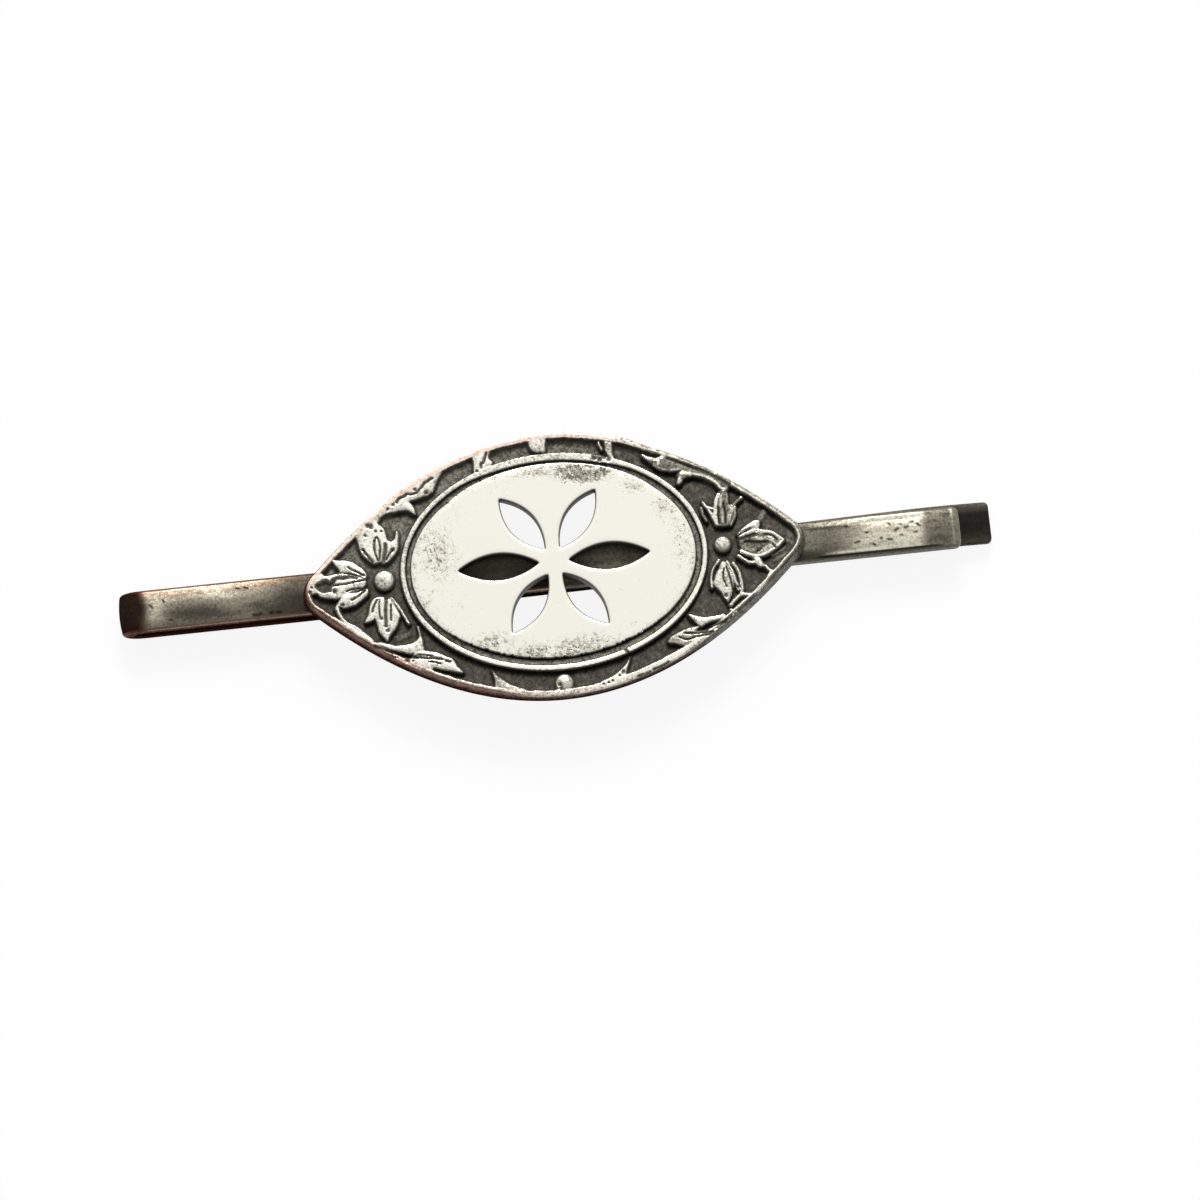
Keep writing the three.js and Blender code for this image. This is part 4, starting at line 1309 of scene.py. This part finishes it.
def aged_silver(name, cast, mottle, grain, streak, speckle, rough_low, rough_high):
    """Silver in every tone from black to bright, mottled, with streaks along X and a painted red reflection
    of a reddish surround, which also tints its highlights.
    """
    material = bpy.data.materials.new(name)
    n = Nodes(material)
    place = n.add("ShaderNodeTexCoord").outputs["Object"]
    cloud = n.noise(n.in_mm(place, streak), grain, 6.0, 0.62)
    fine = n.noise(n.in_mm(place), 6.0, 4.0, 0.65)
    tone = n.attribute("tone")
    red_reflection = n.attribute("red_reflection")
    drift = n.span(cloud, 0.25, 0.75, -mottle, mottle)
    speck = n.span(fine, 0.36, 0.56, -speckle, 0.0)
    share = n.math("MULTIPLY", n.span(tone, 0.2, 0.8, 0.3, 1.0), n.span(tone, 0.93, 1.0, 1.0, 0.3))
    shift = n.math("MULTIPLY", n.math("ADD", drift, speck), share)
    level = n.math("ADD", tone, shift, clamp=True)
    color = n.ramp(level, [(at, tuple(np.multiply(shade, cast))) for at, shade in SILVER])
    n.metal({
        "Base Color": n.tint(color, REFLECTED_RED, red_reflection, "MULTIPLY"),
        "Metallic": n.span(level, 0.35, 0.75, 0.05, 1.0),
        "Roughness": n.span(level, 0.1, 1.0, rough_high, rough_low),
        "Specular IOR Level": n.span(level, 0.25, 0.6, 0.0, 0.25),
        "Specular Tint": n.tint((1, 1, 1, 1), REFLECTED_RED, red_reflection, "MIX"),
    }, n.math("ADD", cloud, fine), 0.00003)
    return material


def polished_silver():
    """Bright silver with clustered pits and crossed scratches where it is worn, and dark walls."""
    material = bpy.data.materials.new("polished_silver")
    n = Nodes(material)
    place = n.add("ShaderNodeTexCoord").outputs["Object"]
    in_mm = n.in_mm(place)
    tone = n.attribute("tone")
    wear = n.attribute("wear")

    def beyond(value, unworn, worn_out):
        return n.math("SUBTRACT", value, n.span(wear, 0.0, 1.0, unworn, worn_out))

    stain = beyond(n.noise(in_mm, 2.6, 6.0, 0.72), 0.66, 0.36)
    grit = beyond(n.noise(in_mm, 7.0, 3.0, 0.6), 0.74, 0.48)
    marks = n.math("MAXIMUM", n.span(stain, 0.0, 0.2, 0.0, 0.8), n.span(grit, 0.0, 0.1, 0.0, 1.0))
    for turn, stretch in ((0.5, 6.0), (-0.7, 5.0), (1.4, 7.0)):
        turned = n.add("ShaderNodeMapping", {"Vector": place, "Rotation": (0, 0, turn)}).outputs["Vector"]
        lines = beyond(n.noise(n.in_mm(turned, stretch), 6.0, 2.0, 0.5), 0.76, 0.54)
        marks = n.math("MAXIMUM", marks, n.span(lines, 0.0, 0.08, 0.0, 0.5))
    fall = n.math("MULTIPLY", marks, n.span(wear, 0.0, 1.0, 0.3, 0.7))
    level = n.math("SUBTRACT", tone, fall, clamp=True)
    n.metal({
        "Base Color": n.ramp(level, SILVER),
        "Metallic": n.span(level, 0.1, 0.55, 0.25, 1.0),
        "Roughness": n.span(level, 0.3, 1.0, 0.5, 0.22),
    }, level, 0.00002)
    return material


def paint(obj, material):
    obj.data.materials.append(material)


# Stage

def floor():
    """White floor that shows the clip's shadow but, to the camera and in the metal, is mostly plain white."""
    mesh = bpy.data.meshes.new("floor")
    corners = [(x * FLOOR_HALF, y * FLOOR_HALF, FLOOR_Z) for x, y in ((-1, -1), (1, -1), (1, 1), (-1, 1))]
    mesh.from_pydata(corners, [], [(0, 1, 2, 3)])
    obj = linked("floor", mesh)
    material = bpy.data.materials.new("floor_white")
    n = Nodes(material)
    paper = n.add("ShaderNodeBsdfDiffuse", {"Color": (0.93, 0.93, 0.93, 1)})
    glow = n.add("ShaderNodeEmission", {"Color": (1, 1, 1, 1), "Strength": 1.0})
    path = n.add("ShaderNodeLightPath")
    seen = n.math("ADD", path.outputs["Is Camera Ray"], path.outputs["Is Glossy Ray"], clamp=True)
    seen_all = n.math("ADD", seen, path.outputs["Is Transmission Ray"], clamp=True)
    share = n.math("MULTIPLY", seen_all, FLOOR_GLOW)
    mixed = n.add("ShaderNodeMixShader", {0: share, 1: paper.outputs[0], 2: glow.outputs[0]})
    n.add("ShaderNodeOutputMaterial", {"Surface": mixed.outputs[0]})
    mesh.materials.append(material)


def studio_light():
    """Soft light from above and behind the clip, falling off towards the viewer's side."""
    world = bpy.data.worlds.new("studio")
    bpy.context.scene.world = world
    n = Nodes(world)
    direction = n.add("ShaderNodeTexCoord").outputs["Generated"]
    parts = n.add("ShaderNodeSeparateXYZ", {"Vector": direction})
    up = n.math("MULTIPLY", parts.outputs["Z"], 0.55)
    back = n.math("MULTIPLY", parts.outputs["Y"], 0.45)
    level = n.span(n.math("ADD", up, back), -0.4, 0.8, 0.0, 1.0)
    greys = [(0.0, 0.1), (0.35, 0.14), (0.58, 0.32), (0.72, 0.7), (0.82, 0.95), (1.0, 1.0)]
    color = n.ramp(level, [(at, (grey, grey, grey)) for at, grey in greys])
    sky = n.add("ShaderNodeBackground", {"Color": color, "Strength": 1.0})
    n.add("ShaderNodeOutputWorld", {"Surface": sky.outputs[0]})
    lamp = bpy.data.lights.new("key", "AREA")
    lamp.shape = "DISK"
    lamp.size = KEY_SIZE
    lamp.energy = KEY_POWER
    key = linked("key", lamp)
    key.location = KEY_PLACE
    key.rotation_euler = (-KEY_PLACE).to_track_quat("-Z", "Y").to_euler()


def camera():
    """Camera that looks down at the panel with the lean and roll of the photograph."""
    right = Vector((math.cos(VIEW_ROLL), -math.sin(VIEW_ROLL), 0))
    flat_up = Vector((math.sin(VIEW_ROLL), math.cos(VIEW_ROLL), 0))
    away = (Vector((0, 0, 1)) - VIEW_LEAN * flat_up).normalized()
    up = away.cross(right)
    middle = Vector((SHEET_X, SHEET_Y, TOP_Z))
    aim = middle - right * MIDDLE_FROM_FRAME[0] - up * MIDDLE_FROM_FRAME[1]
    data = bpy.data.cameras.new("camera")
    data.lens = data.sensor_width * VIEW_DISTANCE / FRAME_SIDE
    data.clip_start = CLIP_START
    obj = linked("camera", data)
    turn = Matrix((right, up, away)).transposed().to_4x4()
    obj.matrix_world = Matrix.Translation((aim + away * VIEW_DISTANCE) * MM) @ turn
    bpy.context.scene.camera = obj


# The clip

strip_silver = aged_silver(
    "strip_silver", cast=(1, 0.99, 0.925), mottle=0.13, grain=1.7, streak=5.0, speckle=0.15,
    rough_low=0.26, rough_high=0.5)
struck_silver = aged_silver(
    "struck_silver", cast=(1, 1, 1), mottle=0.16, grain=1.8, streak=1.0, speckle=0.28,
    rough_low=0.28, rough_high=0.55)
panel_silver = polished_silver()
solder_grey = aged_silver(
    "solder_grey", cast=(1, 1, 1), mottle=0.15, grain=3.0, streak=1.0, speckle=0.1,
    rough_low=0.35, rough_high=0.6)

bar = front_bar()
paint(bar, strip_silver)
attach(bar, "front")
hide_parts("front_bar")

bend = spring_bend()
paint(bend, strip_silver)
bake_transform(bend)
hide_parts("spring_bend")

tongue = spring_tongue()
paint(tongue, strip_silver)
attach(tongue, "tongue")
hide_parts("spring_tongue")

struck = plaque_frame()
paint(struck, struck_silver)
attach(struck, "front")
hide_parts("plaque_frame")

panel = pierced_panel()
paint(panel, panel_silver)
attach(panel, "front")
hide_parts("pierced_panel")

for node in ("solder_left_upper", "solder_left_lower", "solder_right_upper", "solder_right_lower"):
    seam = solder_seam(node)
    paint(seam, solder_grey)
    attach(seam, "front")
    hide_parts(node)

floor()
studio_light()
camera()
bpy.context.scene.view_settings.view_transform = "Standard"
